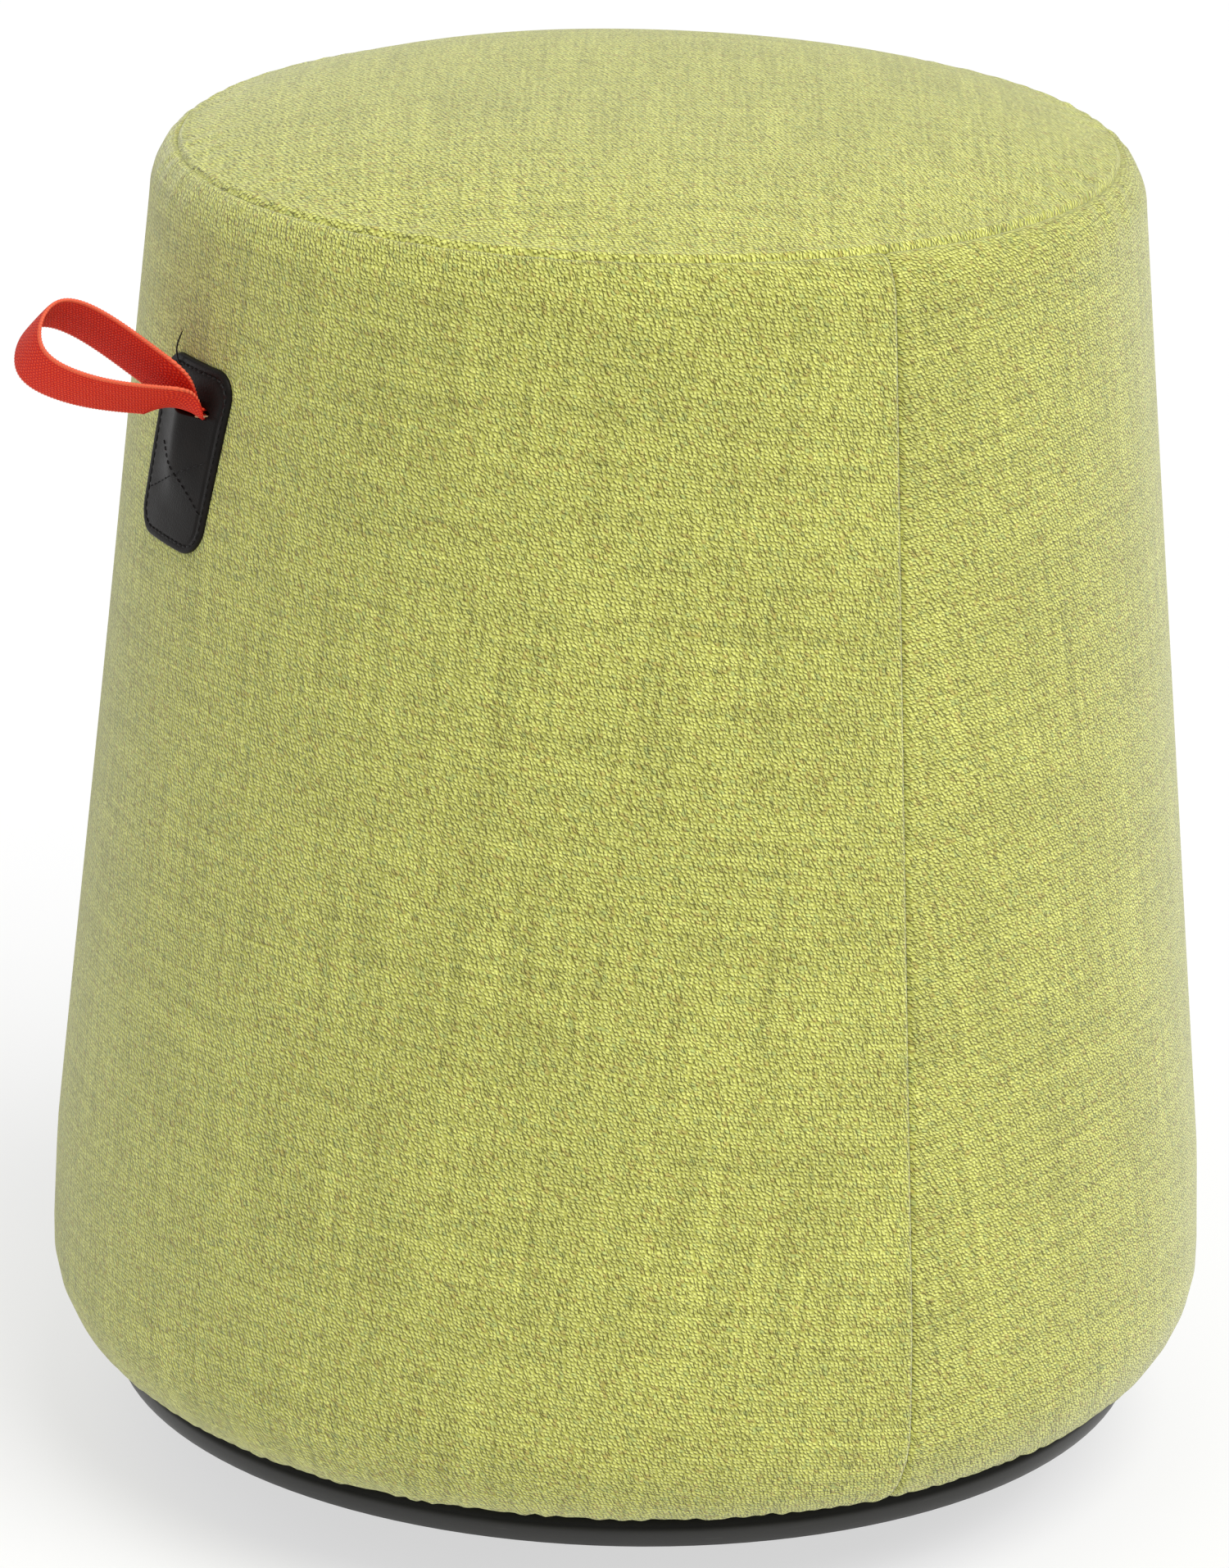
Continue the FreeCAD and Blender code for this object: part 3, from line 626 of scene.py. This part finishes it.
def side_profile():
    """Radius and height along the outside of the side, from the hem's inner edge up to the seam."""
    parts = [
        run((HEM_END_RADIUS, HEM_UNDERSIDE), (HEM_FOLD_RADIUS, HEM_UNDERSIDE), 40),
        arc((HEM_FOLD_RADIUS, HEM_UNDERSIDE), HEM_FOLD_MIDDLE, HEM, 20)[1:],
        arc(HEM, LOWER_BULGE, (WIDEST_RADIUS, WIDEST_HEIGHT), 60)[1:],
        run((WIDEST_RADIUS, WIDEST_HEIGHT), SIDE_LOW, 40)[1:],
        run(SIDE_LOW, SIDE_TOP, 300)[1:],
        arc(SIDE_TOP, SHOULDER, (SEAM_RADIUS, SEAM_HEIGHT), 60)[1:],
    ]
    line = evened(np.concatenate(parts), 1600)
    for _ in range(60):
        line[1:-1] = 0.25 * line[:-2] + 0.5 * line[1:-1] + 0.25 * line[2:]
    return line


PROFILE = side_profile()
PROFILE_LENGTH = along(PROFILE)
HEM_AT = float(PROFILE_LENGTH[np.argmin(np.abs(PROFILE - HEM).sum(axis=1))])
LOW_AT = float(PROFILE_LENGTH[np.argmin(np.abs(PROFILE - SIDE_LOW).sum(axis=1))])


def profile_at(distance):
    """Radius, height and outward normal of the side's profile at distances along it."""
    radius = np.interp(distance, PROFILE_LENGTH, PROFILE[:, 0])
    height = np.interp(distance, PROFILE_LENGTH, PROFILE[:, 1])
    slope = np.gradient(PROFILE, PROFILE_LENGTH, axis=0)
    out = np.interp(distance, PROFILE_LENGTH, slope[:, 1])
    up = -np.interp(distance, PROFILE_LENGTH, slope[:, 0])
    size = np.hypot(out, up)
    return radius, height, out / size, up / size


def side_radius(height):
    """The cover's outside radius on the straight taper."""
    return SIDE_LOW[0] - SIDE_SLOPE * (height - SIDE_LOW[1])


def seat_height(radius):
    """The cover's outside height on the seat."""
    share = np.clip(np.asarray(radius) / SEAM_RADIUS, 0.0, 1.0)
    return SEAM_HEIGHT + (TOTAL_HEIGHT - SEAM_HEIGHT) * (1.0 - share ** SEAT_DOME_POWER)


def handle_calm(angle, height):
    """0 on the cover under the leather patch, 1 away from it."""
    across = (angle - HANDLE_ANGLE) * side_radius(PATCH_CENTRE)
    reach = np.hypot(across / 0.030, (height - PATCH_CENTRE) / 0.040)
    return smooth((reach - 1.0) / 0.6)


def seam_crease(distance, depth, lip, pitch_wave=0.0):
    """How far cloth beside a sewn seam stands off its surface: down into the seam, with a soft lip."""
    into = -depth * np.exp(-(distance / 0.00085) ** 1.5)
    rise = lip * np.exp(-((distance - 0.0036) / 0.0026) ** 2)
    return into + rise * (1.0 + pitch_wave)


def side_rows():
    """Distances of the grid rows along the side's profile, crowded at the hem's fold and top seam."""
    top = PROFILE_LENGTH[-1]
    below_hem, above_hem, below_seam = HEM_AT - 0.006, HEM_AT + 0.010, top - SEAM_RUN
    return np.concatenate([
        np.linspace(0.0, below_hem, 8)[:-1],
        np.linspace(below_hem, above_hem, 20)[:-1],
        np.linspace(above_hem, below_seam, 44)[:-1],
        top - SEAM_RUN * (1.0 - np.linspace(0.0, 1.0, 40)) ** 1.6,
    ])


def cloth_grid(radius, height, normal, angle, stand):
    """Grid points of the cover round the stool, standing off its surface along the outward normal."""
    out, up = normal
    r = radius + out * stand
    z = height + up * stand
    return np.stack([r * np.sin(angle), -r * np.cos(angle), z], axis=-1)


def side_relief(distance, angle, radius, height, start, seed):
    """How far the side's cloth stands off its profile: puckers, drag, sway and creases at its seams."""
    from_seam = PROFILE_LENGTH[-1] - distance
    from_edge = np.minimum(angle - start, start + math.pi - angle) * radius
    calm = handle_calm(np.where(angle > math.pi, angle - 2.0 * math.pi, angle), height)
    upright_share = (height - SIDE_LOW[1]) / (SIDE_TOP[1] - SIDE_LOW[1])
    pucker = ripple(angle, 46, 74, 11) * np.exp(-((from_seam - 0.006) / 0.011) ** 2)
    drag = ripple(angle + 0.35 * upright_share, 7, 15, 12) * np.exp(-((from_seam - 0.030) / 0.035) ** 2)
    pull = ripple(angle, 34, 46, 13) * np.exp(-((distance - HEM_AT - 0.006) / 0.014) ** 2)
    sway = ripple(angle + 0.8 * upright_share, 3, 9, 14 + seed) * smooth(from_seam / 0.05)
    stand = (0.00016 * pucker + 0.00022 * drag + 0.00008 * pull + 0.00022 * sway) * calm
    stand = stand + seam_crease(from_seam, 0.0012, 0.00030, 0.5 * ripple(angle, 90, 130, 15))
    edge_wave = 0.7 * np.cos(2.0 * math.pi * height / 0.0074) * np.exp(-from_edge / 0.004)
    past_hem = smooth((distance - HEM_AT) / 0.01 + 1.0)
    return stand + seam_crease(from_edge, 0.0011, 0.00012, edge_wave) * past_hem


def hem_relief(distance, angle):
    """How far the turned hem is drawn in, and how far it is raised, between its staples."""
    share = np.exp(-((distance - HEM_AT + 0.0015) / 0.0065) ** 2)
    wave = 0.00045 + 0.00010 * ripple(angle, 10, 42, 16) + 0.00034 * ripple(angle, 80, 230, 17)
    return share * 0.0003 * ripple(angle, 12, 40, 18), share * wave


def side_panel(name, node, start, seed):
    """Half of the side, between its two upright seams, sewn to the seat and turned in under the board."""
    angles = start + SEAM_GAP_ANGLE + (math.pi - 2.0 * SEAM_GAP_ANGLE) * graded(396, 0.7)
    distance, angle = np.meshgrid(side_rows(), angles, indexing="ij")
    radius, height, out, up = profile_at(distance)
    stand = side_relief(distance, angle, radius, height, start, seed)
    drawn_in, raised = hem_relief(distance, angle)
    radius, height = radius - drawn_in, height + raised
    points, faces = shell(cloth_grid(radius, height, (out, up), angle, stand),
                          cloth_grid(radius, height, (out, up), angle, stand - FABRIC))

    cone = SIDE_LOW[0] / SIDE_SLOPE
    reach = cone - (distance - LOW_AT)
    swing = (angle - start - 0.5 * math.pi) * SIDE_SLOPE
    flat = np.stack([reach * np.sin(swing), -reach * np.cos(swing) + cone], axis=-1).reshape(-1, 2)
    piece = mesh_object(name, points, faces, COVER_CLOTH, np.concatenate([flat, flat]))
    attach(piece, "stool")
    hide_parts(node)


def seat_relief(radius, angle, from_seam):
    """How far the seat's cloth stands off its crown: soft hollows, puckers, the welt and its seam."""
    x, y = radius * np.sin(angle), -radius * np.cos(angle)
    soft = 0.0005 * np.sin(31.0 * x + 0.6) * np.cos(27.0 * y - 0.9) * smooth(from_seam / 0.03)
    pucker = 0.00016 * ripple(angle, 46, 74, 11) * np.exp(-((from_seam - 0.006) / 0.011) ** 2)
    welt = 0.0005 * np.exp(-((from_seam - 0.0019) / 0.0012) ** 2)
    return soft + pucker + welt + seam_crease(from_seam, 0.0010, 0.00020, 0.5 * ripple(angle, 90, 130, 19))


def seat_cap(points, faces, columns):
    """The seat's two layers closed at its middle, where the grid leaves a small hole."""
    count = len(points)
    half = count // 2
    points = np.concatenate([points, [[0.0, 0.0, TOTAL_HEIGHT], [0.0, 0.0, TOTAL_HEIGHT - FABRIC]]])
    rim = np.arange(columns)
    after = (rim + 1) % columns
    faces = faces.tolist()
    faces += [(a, b, count) for a, b in zip(after, rim)]
    faces += [(a, b, count + 1) for a, b in zip(rim + half, after + half)]
    return points, faces


def seat_panel():
    """The round top panel, crowned over the seat foam and sewn to the side all round."""
    edge = SEAM_RADIUS - 0.0002
    radii = edge * np.concatenate([np.linspace(0.004, 0.86, 60), 0.86 + 0.14 * graded(44, 0.9)[1:]])
    angles = np.linspace(0.0, 2.0 * math.pi, 420, endpoint=False)
    radius, angle = np.meshgrid(radii, angles, indexing="ij")
    height = seat_height(radius)
    rise = (TOTAL_HEIGHT - SEAM_HEIGHT) * SEAT_DOME_POWER / SEAM_RADIUS
    slope = rise * (radius / SEAM_RADIUS) ** (SEAT_DOME_POWER - 1.0)
    size = np.hypot(1.0, slope)
    normal = (slope / size, 1.0 / size)
    stand = seat_relief(radius, angle, edge - radius)
    points, faces = shell(cloth_grid(radius, height, normal, angle, stand),
                          cloth_grid(radius, height, normal, angle, stand - FABRIC), True)
    points, faces = seat_cap(points, faces, len(angles))

    profile = np.stack([radii, seat_height(radii)], axis=1)
    reach = (radii[0] + along(profile))[:, None]
    flat = np.stack([reach * np.sin(angle), -reach * np.cos(angle)], axis=-1).reshape(-1, 2)
    flat = np.concatenate([flat, flat, [[0.0, 0.0], [0.0, 0.0]]])
    piece = mesh_object("seat_cover_panel", points, faces, SEAT_CLOTH_PAINTED_PALER, flat)
    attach(piece, "stool")
    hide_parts("seat_cover")


# ---- padding under the cover ----


def inside_cover(co, play):
    """Moves points that stand through the cover back inside it."""
    radius = np.hypot(co[:, 0], co[:, 1])
    upper = PROFILE_LENGTH > HEM_AT
    limit = np.interp(co[:, 2], PROFILE[upper, 1], PROFILE[upper, 0]) - play
    limit = np.where(co[:, 2] > SEAM_HEIGHT, SEAM_RADIUS - play, limit)
    share = np.minimum(1.0, limit / np.maximum(radius, 1e-6))
    co[:, 0] *= share
    co[:, 1] *= share
    co[:, 2] = np.minimum(co[:, 2], seat_height(np.hypot(co[:, 0], co[:, 1])) - play)
    return co


def vertex_points(piece):
    """The positions of a piece's vertices."""
    co = np.zeros(len(piece.data.vertices) * 3, np.float32)
    piece.data.vertices.foreach_get("co", co)
    return co.reshape(-1, 3).astype(float)


def move_vertices(piece, points):
    """Puts a piece's vertices at these positions."""
    piece.data.vertices.foreach_set("co", points.astype(np.float32).ravel())


def settled(piece):
    """Makes the piece's modifiers permanent."""
    graph = bpy.context.evaluated_depsgraph_get()
    graph.update()
    mesh = bpy.data.meshes.new_from_object(piece.evaluated_get(graph))
    piece.modifiers.clear()
    piece.data = mesh


def swollen(piece, start, cap):
    """Where cloth pressure takes the vertices from start, each moved by no more than cap."""
    cloth = piece.modifiers.new("cloth", "CLOTH")
    cloth.settings.use_pressure = True
    cloth.settings.uniform_pressure_force = FOAM_PRESSURE
    cloth.settings.quality = 5
    cloth.settings.effector_weights.gravity = 0.0
    for number in range(1, FOAM_FRAMES + 1):
        scene.frame_set(number)
    settled(piece)
    scene.frame_set(1)
    moved = vertex_points(piece) - start
    length = np.linalg.norm(moved, axis=1)[:, None]
    return start + moved * np.minimum(1.0, cap / np.maximum(length, 1e-9))


def padded_piece(name, node, voxel, cap, subdivide):
    """A foam piece: the CAD solid remeshed, shrunk a little and swollen by cloth pressure."""
    piece = link_object(name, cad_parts[node].data.copy())
    remesh = piece.modifiers.new("remesh", "REMESH")
    remesh.mode = "VOXEL"
    remesh.voxel_size = voxel
    settled(piece)
    start = vertex_points(piece)
    normals = np.zeros(len(start) * 3, np.float32)
    piece.data.vertices.foreach_get("normal", normals)
    start = start - FOAM_SHRINK * normals.reshape(-1, 3)
    move_vertices(piece, start)
    start = swollen(piece, start, cap)
    move_vertices(piece, inside_cover(start.copy(), FABRIC + FOAM_PLAY))
    piece.data.update()
    if subdivide:
        piece.modifiers.new("subdivide", "SUBSURF").levels = 1
        settled(piece)
        move_vertices(piece, inside_cover(vertex_points(piece), FABRIC + FOAM_PLAY - 0.0001))
    piece.data.polygons.foreach_set("use_smooth", np.ones(len(piece.data.polygons), bool))
    piece.data.materials.clear()
    piece.data.materials.append(FOAM)
    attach(piece, "stool")
    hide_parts(node)


# ---- the handle ----


def on_side(x, z, offset):
    """Points on the side at plan position x, z of the leaning patch, offset out from the cover."""
    across = x + PATCH_LEAN * (z - PATCH_CENTRE)
    radius = side_radius(z) + offset
    flat = np.stack([across, -np.sqrt(radius ** 2 - across ** 2), z + 0.0 * across], axis=-1)
    return turned(flat, HANDLE_ANGLE)


def inside_patch(x, z):
    """Distance in from the patch's rounded outline."""
    dx = np.abs(x) - 0.5 * PATCH_WIDTH + PATCH_CORNER
    dz = np.abs(z - PATCH_CENTRE) - 0.5 * PATCH_HEIGHT + PATCH_CORNER
    outside = np.hypot(np.maximum(dx, 0.0), np.maximum(dz, 0.0))
    return PATCH_CORNER - outside - np.minimum(np.maximum(dx, dz), 0.0)


def patch_top(x, z):
    """How far the leather's outside stands off the cover."""
    inset = inside_patch(x, z)
    lip_line = SLIT_HEIGHT - 0.0016
    beside = np.abs(x - SLIT_X) / 0.0112
    below = lip_line - z
    taper = 1.0 - 0.55 * smooth((below - 0.004) / 0.026)
    crown = np.exp(-beside ** 2.6) * (0.72 + 0.28 * np.exp(-((x + 0.0005) / 0.0048) ** 2))
    ridge = 0.0033 * crown * taper * (1.0 - smooth((below - 0.018) / 0.016))
    slit_share = np.clip(1.0 - ((x - SLIT_X) / SLIT_HALF) ** 2, 0.0, 1.0) ** 0.5
    ridge = ridge * np.where(below > 0.0, 1.0, np.exp(-(below / 0.0016) ** 2) * (1.0 - slit_share))
    lift = 0.0005 * np.exp(-((z - SLIT_HEIGHT - 0.0028) / 0.0016) ** 2) * slit_share
    edge = np.sqrt(np.clip(1.0 - (1.0 - np.clip(inset / 0.0008, 0.0, 1.0)) ** 2, 0.0, 1.0))
    seam_line = 0.00028 * np.exp(-((inset - STITCH_INSET) / 0.0007) ** 2)
    top = PATCH_GAP + LEATHER * (0.25 + 0.75 * edge) + ridge + lift - seam_line
    mouth = 0.0019 * slit_share
    depth = smooth((mouth - np.abs(z - SLIT_HEIGHT)) / 0.0005)
    return top * (1.0 - depth) + 0.0002 * depth


def patch_rows():
    """Heights of the patch's grid rows, crowded at its ends and at the slit."""
    low = PATCH_CENTRE - 0.5 * PATCH_HEIGHT
    high = PATCH_CENTRE + 0.5 * PATCH_HEIGHT
    coarse = low + (high - low) * graded(110, 0.8)
    fine = np.linspace(SLIT_HEIGHT - 0.0032, SLIT_HEIGHT + 0.0030, 42)
    clear = coarse[(coarse < fine[0] - 0.0001) | (coarse > fine[-1] + 0.0001)]
    return np.sort(np.concatenate([clear, fine]))


def leather_patch():
    """The leather patch: one closed skin with a rounded edge, a soft ridge and an open slit."""
    rows = patch_rows()
    over = np.clip(np.abs(rows - PATCH_CENTRE) - 0.5 * PATCH_HEIGHT + PATCH_CORNER, 0.0, PATCH_CORNER)
    half = 0.5 * PATCH_WIDTH - PATCH_CORNER + np.sqrt(PATCH_CORNER ** 2 - over ** 2)
    across = 2.0 * graded(120, 0.75) - 1.0
    x = half[:, None] * across[None, :]
    z = rows[:, None] + 0.0 * x
    outer = on_side(x, z, patch_top(x, z))
    inner = on_side(x, z, PATCH_GAP * 0.5 + 0.0 * x)
    points, faces = shell(outer, inner)
    flat = np.stack([x, z], axis=-1).reshape(-1, 2)
    piece = mesh_object("leather_patch_skin", points, faces, LEATHER_SKIN, np.concatenate([flat, flat]))
    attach(piece, "stool")
    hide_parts("leather_patch")


def raw_slit_edge():
    """The pale cut edge of the leather that shows at the right end of the slit."""
    x = np.linspace(SLIT_X + 0.0058, SLIT_X + SLIT_HALF - 0.0006, 26)
    share = (x - x[0]) / (x[-1] - x[0])
    z = SLIT_HEIGHT - 0.0019 * np.sqrt(np.clip(1.0 - ((x - SLIT_X) / SLIT_HALF) ** 2, 0.0, 1.0)) + 0.0001
    path = on_side(x, z, patch_top(x, z - 0.0006) - 0.0006 + 0.0002 * np.sin(9.0 * share))
    piece = joined_object("slit_raw_edge", [tube(path, RAW_EDGE_RADIUS, 8)], RAW_EDGE)
    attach(piece, "stool")


def stitch_path(ends, bite=0.0007, rise=0.00022):
    """One stitch between two plan points, dipping into the leather at both ends."""
    (x0, z0), (x1, z1) = ends
    share = np.linspace(0.0, 1.0, 9)
    x = x0 + (x1 - x0) * share
    z = z0 + (z1 - z0) * share
    lift = rise - bite * np.abs(2.0 * share - 1.0) ** 4
    return on_side(x, z, patch_top(x, z) + lift)


def outline_points(inset, right_inset, count=400):
    """Plan points round the patch's outline, moved in by inset, or by right_inset at its right edge."""
    middle_x = 0.5 * (inset - right_inset)
    half_x = 0.5 * (PATCH_WIDTH - inset - right_inset)
    half_z = 0.5 * PATCH_HEIGHT - inset
    corner = PATCH_CORNER - inset
    line = []
    for sign_x, sign_z, start in ((1, 1, 0), (-1, 1, 90), (-1, -1, 180), (1, -1, 270)):
        for turn in np.radians(np.linspace(start, start + 90, 40)):
            line.append((middle_x + sign_x * (half_x - corner) + corner * math.cos(turn),
                         PATCH_CENTRE + sign_z * (half_z - corner) + corner * math.sin(turn)))
    line.append(line[0])
    line = np.array(line)
    return evened(line, count), along(line)[-1]


def row_of_stitches(line, length, pitch, stitch, thread, seed):
    """Stitches of one length at one pitch along a line of plan points."""
    draw = random.Random(seed)
    distance = np.linspace(0.0, length, len(line))
    parts = []
    for number in range(int(length / pitch)):
        start = pitch * (number + 0.5) - 0.5 * stitch + draw.uniform(-0.0001, 0.0001)
        ends = []
        for at in (start, start + stitch):
            ends.append((np.interp(at, distance, line[:, 0]) + draw.uniform(-0.00008, 0.00008),
                         np.interp(at, distance, line[:, 1]) + draw.uniform(-0.00008, 0.00008)))
        parts.append(tube(stitch_path(ends), thread))
    return parts


def cross_line(first, last):
    """Plan points of a straight row between two places given across the leaning patch."""
    ends = []
    for across, z in (first, last):
        ends.append((across - PATCH_LEAN * (z - PATCH_CENTRE), z))
    line = run(ends[0], ends[1], 60)
    return line, float(along(line)[-1])


def patch_stitching():
    """The row of stitches round the patch's edge and the cross sewn over the webbing's tail."""
    line, length = outline_points(STITCH_INSET, RIGHT_STITCH_INSET)
    pitch = length / EDGE_STITCHES
    edge = row_of_stitches(line, length, pitch, STITCH_LENGTH, EDGE_THREAD, 21)
    cross = []
    for number, places in enumerate(CROSS_LINES):
        line, length = cross_line(*places)
        pitch = length / CROSS_STITCHES
        cross += row_of_stitches(line, length, pitch, STITCH_LENGTH, CROSS_THREAD, 22 + number)
    for name, parts, node in (("patch_edge_stitching", edge, "patch_edge_stitches"),
                              ("patch_cross_stitching", cross, "cross_stitches")):
        piece = joined_object(name, parts, THREAD)
        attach(piece, "stool")
        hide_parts(node)


def thread_tail():
    """The loose end of the stitching thread, standing up at the top left of the patch."""
    share = np.linspace(0.0, 1.0, 30)
    across = -0.0046 + 0.0034 * share ** 2 - 0.0007 * np.sin(5.0 * share)
    z = 0.3768 + 0.0128 * share
    plan_x = across - PATCH_LEAN * (z - PATCH_CENTRE)
    lift = 0.0014 + 0.0026 * np.sin(math.pi * share * 0.62)
    path = on_side(plan_x, z, lift)
    piece = joined_object("thread_end", [tube(path, THREAD_END_RADIUS, 7)], THREAD)
    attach(piece, "stool")


# ---- the pull loop ----


def smooth_line(points, count):
    """Cubic spline through points, spaced by the root of each chord."""
    points = np.asarray(points, float)
    steps = np.sqrt(np.linalg.norm(np.diff(points, axis=0), axis=1))
    knots = np.concatenate([[0.0], np.cumsum(steps)])
    n = len(points)
    system = np.zeros((n, n))
    right = np.zeros((n, points.shape[1]))
    gap = np.diff(knots)
    for k in range(1, n - 1):
        system[k, k - 1] = gap[k - 1]
        system[k, k] = 2.0 * (gap[k - 1] + gap[k])
        system[k, k + 1] = gap[k]
        right[k] = 6.0 * ((points[k + 1] - points[k]) / gap[k] - (points[k] - points[k - 1]) / gap[k - 1])
    system[0, 0], system[0, 1], system[0, 2] = gap[1], -(gap[0] + gap[1]), gap[0]
    system[-1, -3], system[-1, -2], system[-1, -1] = gap[-1], -(gap[-2] + gap[-1]), gap[-2]
    bend = np.linalg.solve(system, right)
    at = np.linspace(knots[0], knots[-1], count)
    k = np.clip(np.searchsorted(knots, at, side="right") - 1, 0, n - 2)
    h = gap[k][:, None]
    left = (knots[k + 1] - at)[:, None]
    rest = (at - knots[k])[:, None]
    return (bend[k] * left ** 3 / (6 * h) + bend[k + 1] * rest ** 3 / (6 * h)
            + (points[k] / h - bend[k] * h / 6) * left + (points[k + 1] / h - bend[k + 1] * h / 6) * rest)


RADIAL = np.array([math.sin(SLIT_ANGLE), -math.cos(SLIT_ANGLE), 0.0])
LEVEL = np.array([math.cos(SLIT_ANGLE), math.sin(SLIT_ANGLE), 0.0])
UPRIGHT = np.array([0.0, 0.0, 1.0])
SLIT = RADIAL * (side_radius(SLIT_HEIGHT) + 0.0012) + UPRIGHT * SLIT_HEIGHT
OUTWARDS = RADIAL * math.cos(LOOP_YAW) + LEVEL * math.sin(LOOP_YAW)
SIDEWAYS = -RADIAL * math.sin(LOOP_YAW) + LEVEL * math.cos(LOOP_YAW)
OVER = -OUTWARDS * math.sin(LOOP_RISE) + UPRIGHT * math.cos(LOOP_RISE)


def root_share(out):
    """1 at the slit, falling to 0 where the loop's root ends."""
    return 1.0 - smooth(out / ROOT_RUN)


def loop_middle():
    """The band's middle line in space, and how far out from the slit each of its points lies."""
    along_loop = OUTWARDS * math.cos(LOOP_RISE) + UPRIGHT * math.sin(LOOP_RISE)
    across = OVER * math.cos(LOOP_TWIST) - SIDEWAYS * math.sin(LOOP_TWIST)
    line = evened(smooth_line(LOOP_LINE, 1500), LOOP_POINTS)
    out = line[:, 0]
    root = root_share(out)
    shift = LOOP_SHIFT - root * 0.0056
    lift = LOOP_LIFT - root * 0.0038
    centre = (SLIT + LEVEL * shift[:, None] + UPRIGHT * lift[:, None]
              + along_loop * line[:, :1] + across * line[:, 1:])
    tail = np.linspace(-TAIL_LENGTH, 0.0, TAIL_POINTS, endpoint=False)
    sag = 0.25 * tail[:, None] ** 2 / TAIL_LENGTH
    starts = centre[0] + RADIAL * tail[:, None] - UPRIGHT * sag
    ends = (centre[-1] + RADIAL * tail[:, None] - UPRIGHT * sag)[::-1]
    return np.concatenate([starts, centre, ends]), np.concatenate([tail, out, tail[::-1]])


def band_directions(middle, out):
    """Unit directions across the band and out of its face, at each point of its middle line."""
    twist = LOOP_TWIST * smooth(out / LOOP_TWIST_RUN)
    wide = SIDEWAYS[None] * np.cos(twist)[:, None] + OVER[None] * np.sin(twist)[:, None]
    travel = np.gradient(middle, axis=0)
    travel /= np.linalg.norm(travel, axis=1)[:, None]
    face = np.cross(travel, wide)
    face /= np.linalg.norm(face, axis=1)[:, None]
    return np.cross(face, travel), face


def webbing_band():
    """The pull loop: one band of webbing that comes out of the slit, turns over and goes back in."""
    middle, out = loop_middle()
    root = root_share(out)
    wide, face = band_directions(middle, out)
    length = along(middle)
    place = np.linspace(-1.0, 1.0, LOOP_COLUMNS)
    picot = 1.0 + 0.018 * np.cos(2.0 * math.pi * length / PICOT_PITCH)
    half = 0.5 * WEBBING_WIDTH * (1.0 - 0.20 * root)
    edge = np.abs(place) ** 14
    width = half[:, None] * place[None] * (1.0 + (picot - 1.0)[:, None] * edge[None])
    cup = root[:, None] * 0.0005 * (place[None] ** 2 - 0.35)
    roll = 0.00045 * np.sin(length / 0.019)[:, None] * place[None] ** 2
    base = middle[:, None] + wide[:, None] * width[..., None] + face[:, None] * (cup + roll)[..., None]
    thin = 0.5 * WEBBING_THICKNESS * (1.0 - 0.35 * edge)[None, :, None]
    points, faces = shell(base + face[:, None] * thin, base - face[:, None] * thin)
    flat = np.stack([width, length[:, None] + 0.0 * width], axis=-1).reshape(-1, 2)
    piece = mesh_object("pull_loop_webbing", points, faces, WEBBING_CLOTH, np.concatenate([flat, flat]))
    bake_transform(piece)
    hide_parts("webbing_loop", "webbing_tail")


# ---- camera, light and floor ----


def camera():
    """Looks a little down on the stool from the front, with a long lens."""
    elevation = math.radians(18.858)
    roll = math.radians(1.25)
    distance = 2.2453
    aim = Vector((0.0, 0.0, 0.21934))
    back = Vector((0.0, -math.cos(elevation), math.sin(elevation)))
    data = bpy.data.cameras.new("camera")
    data.lens = 159.97
    data.sensor_width = 36.0
    data.shift_x = -0.01337
    made = link_object("camera", data)
    made.location = aim + back * distance
    made.rotation_mode = "QUATERNION"
    made.rotation_quaternion = (-back).to_track_quat("-Z", "Y") @ Quaternion((0.0, 0.0, 1.0), roll)
    scene.camera = made


def soft_light(name, place, aim, strength, spread):
    """A wide distant light that shines from place towards aim."""
    data = bpy.data.lights.new(name, "SUN")
    data.energy = strength
    data.angle = math.radians(spread)
    made = link_object(name, data)
    made.location = place
    made.rotation_mode = "QUATERNION"
    made.rotation_quaternion = (Vector(aim) - Vector(place)).to_track_quat("-Z", "Y")


def studio():
    """Plain soft light from above and a plain white floor."""
    world = bpy.data.worlds.new("studio")
    world.use_nodes = True
    sky = world.node_tree.nodes["Background"]
    sky.inputs[0].default_value = grey(1.0)
    sky.inputs[1].default_value = 0.55
    scene.world = world
    scene.view_settings.view_transform = "Standard"
    soft_light("key", (1.4, -1.6, 3.2), (0.0, 0.0, 0.2), 2.3, 40.0)
    soft_light("fill", (-1.9, -1.0, 2.4), (0.0, 0.0, 0.2), 0.10, 60.0)

    floor = Paint("floor_white", Roughness=0.9, Specular_IOR_Level=0.1)
    cloud = floor.noise(floor.place(), 3.0, 3.0)
    floor.set("Base Color", floor.mix(cloud, grey(0.32), grey(0.35)))
    floor.shader.inputs["Emission Color"].default_value = grey(1.0)
    floor.shader.inputs["Emission Strength"].default_value = 0.62
    reach = 60.0
    under = -0.0002
    corners = [(-reach, -reach, under), (reach, -reach, under), (reach, reach, under), (-reach, reach, under)]
    ground = mesh_object("studio_floor", corners, [(0, 1, 2, 3)], floor.material)


# ---- build ----

camera()
studio()
finish_cad_nodes()
padded_piece("seat_pad", "seat_foam", 0.005, 0.006, True)
padded_piece("side_pad", "side_foam", 0.006, 0.006, False)
seat_panel()
side_panel("side_cover_front_panel", "side_cover_front", SIDE_SEAM_ANGLE - math.pi, 0)
side_panel("side_cover_back_panel", "side_cover_back", SIDE_SEAM_ANGLE, 1)
leather_patch()
raw_slit_edge()
patch_stitching()
thread_tail()
webbing_band()
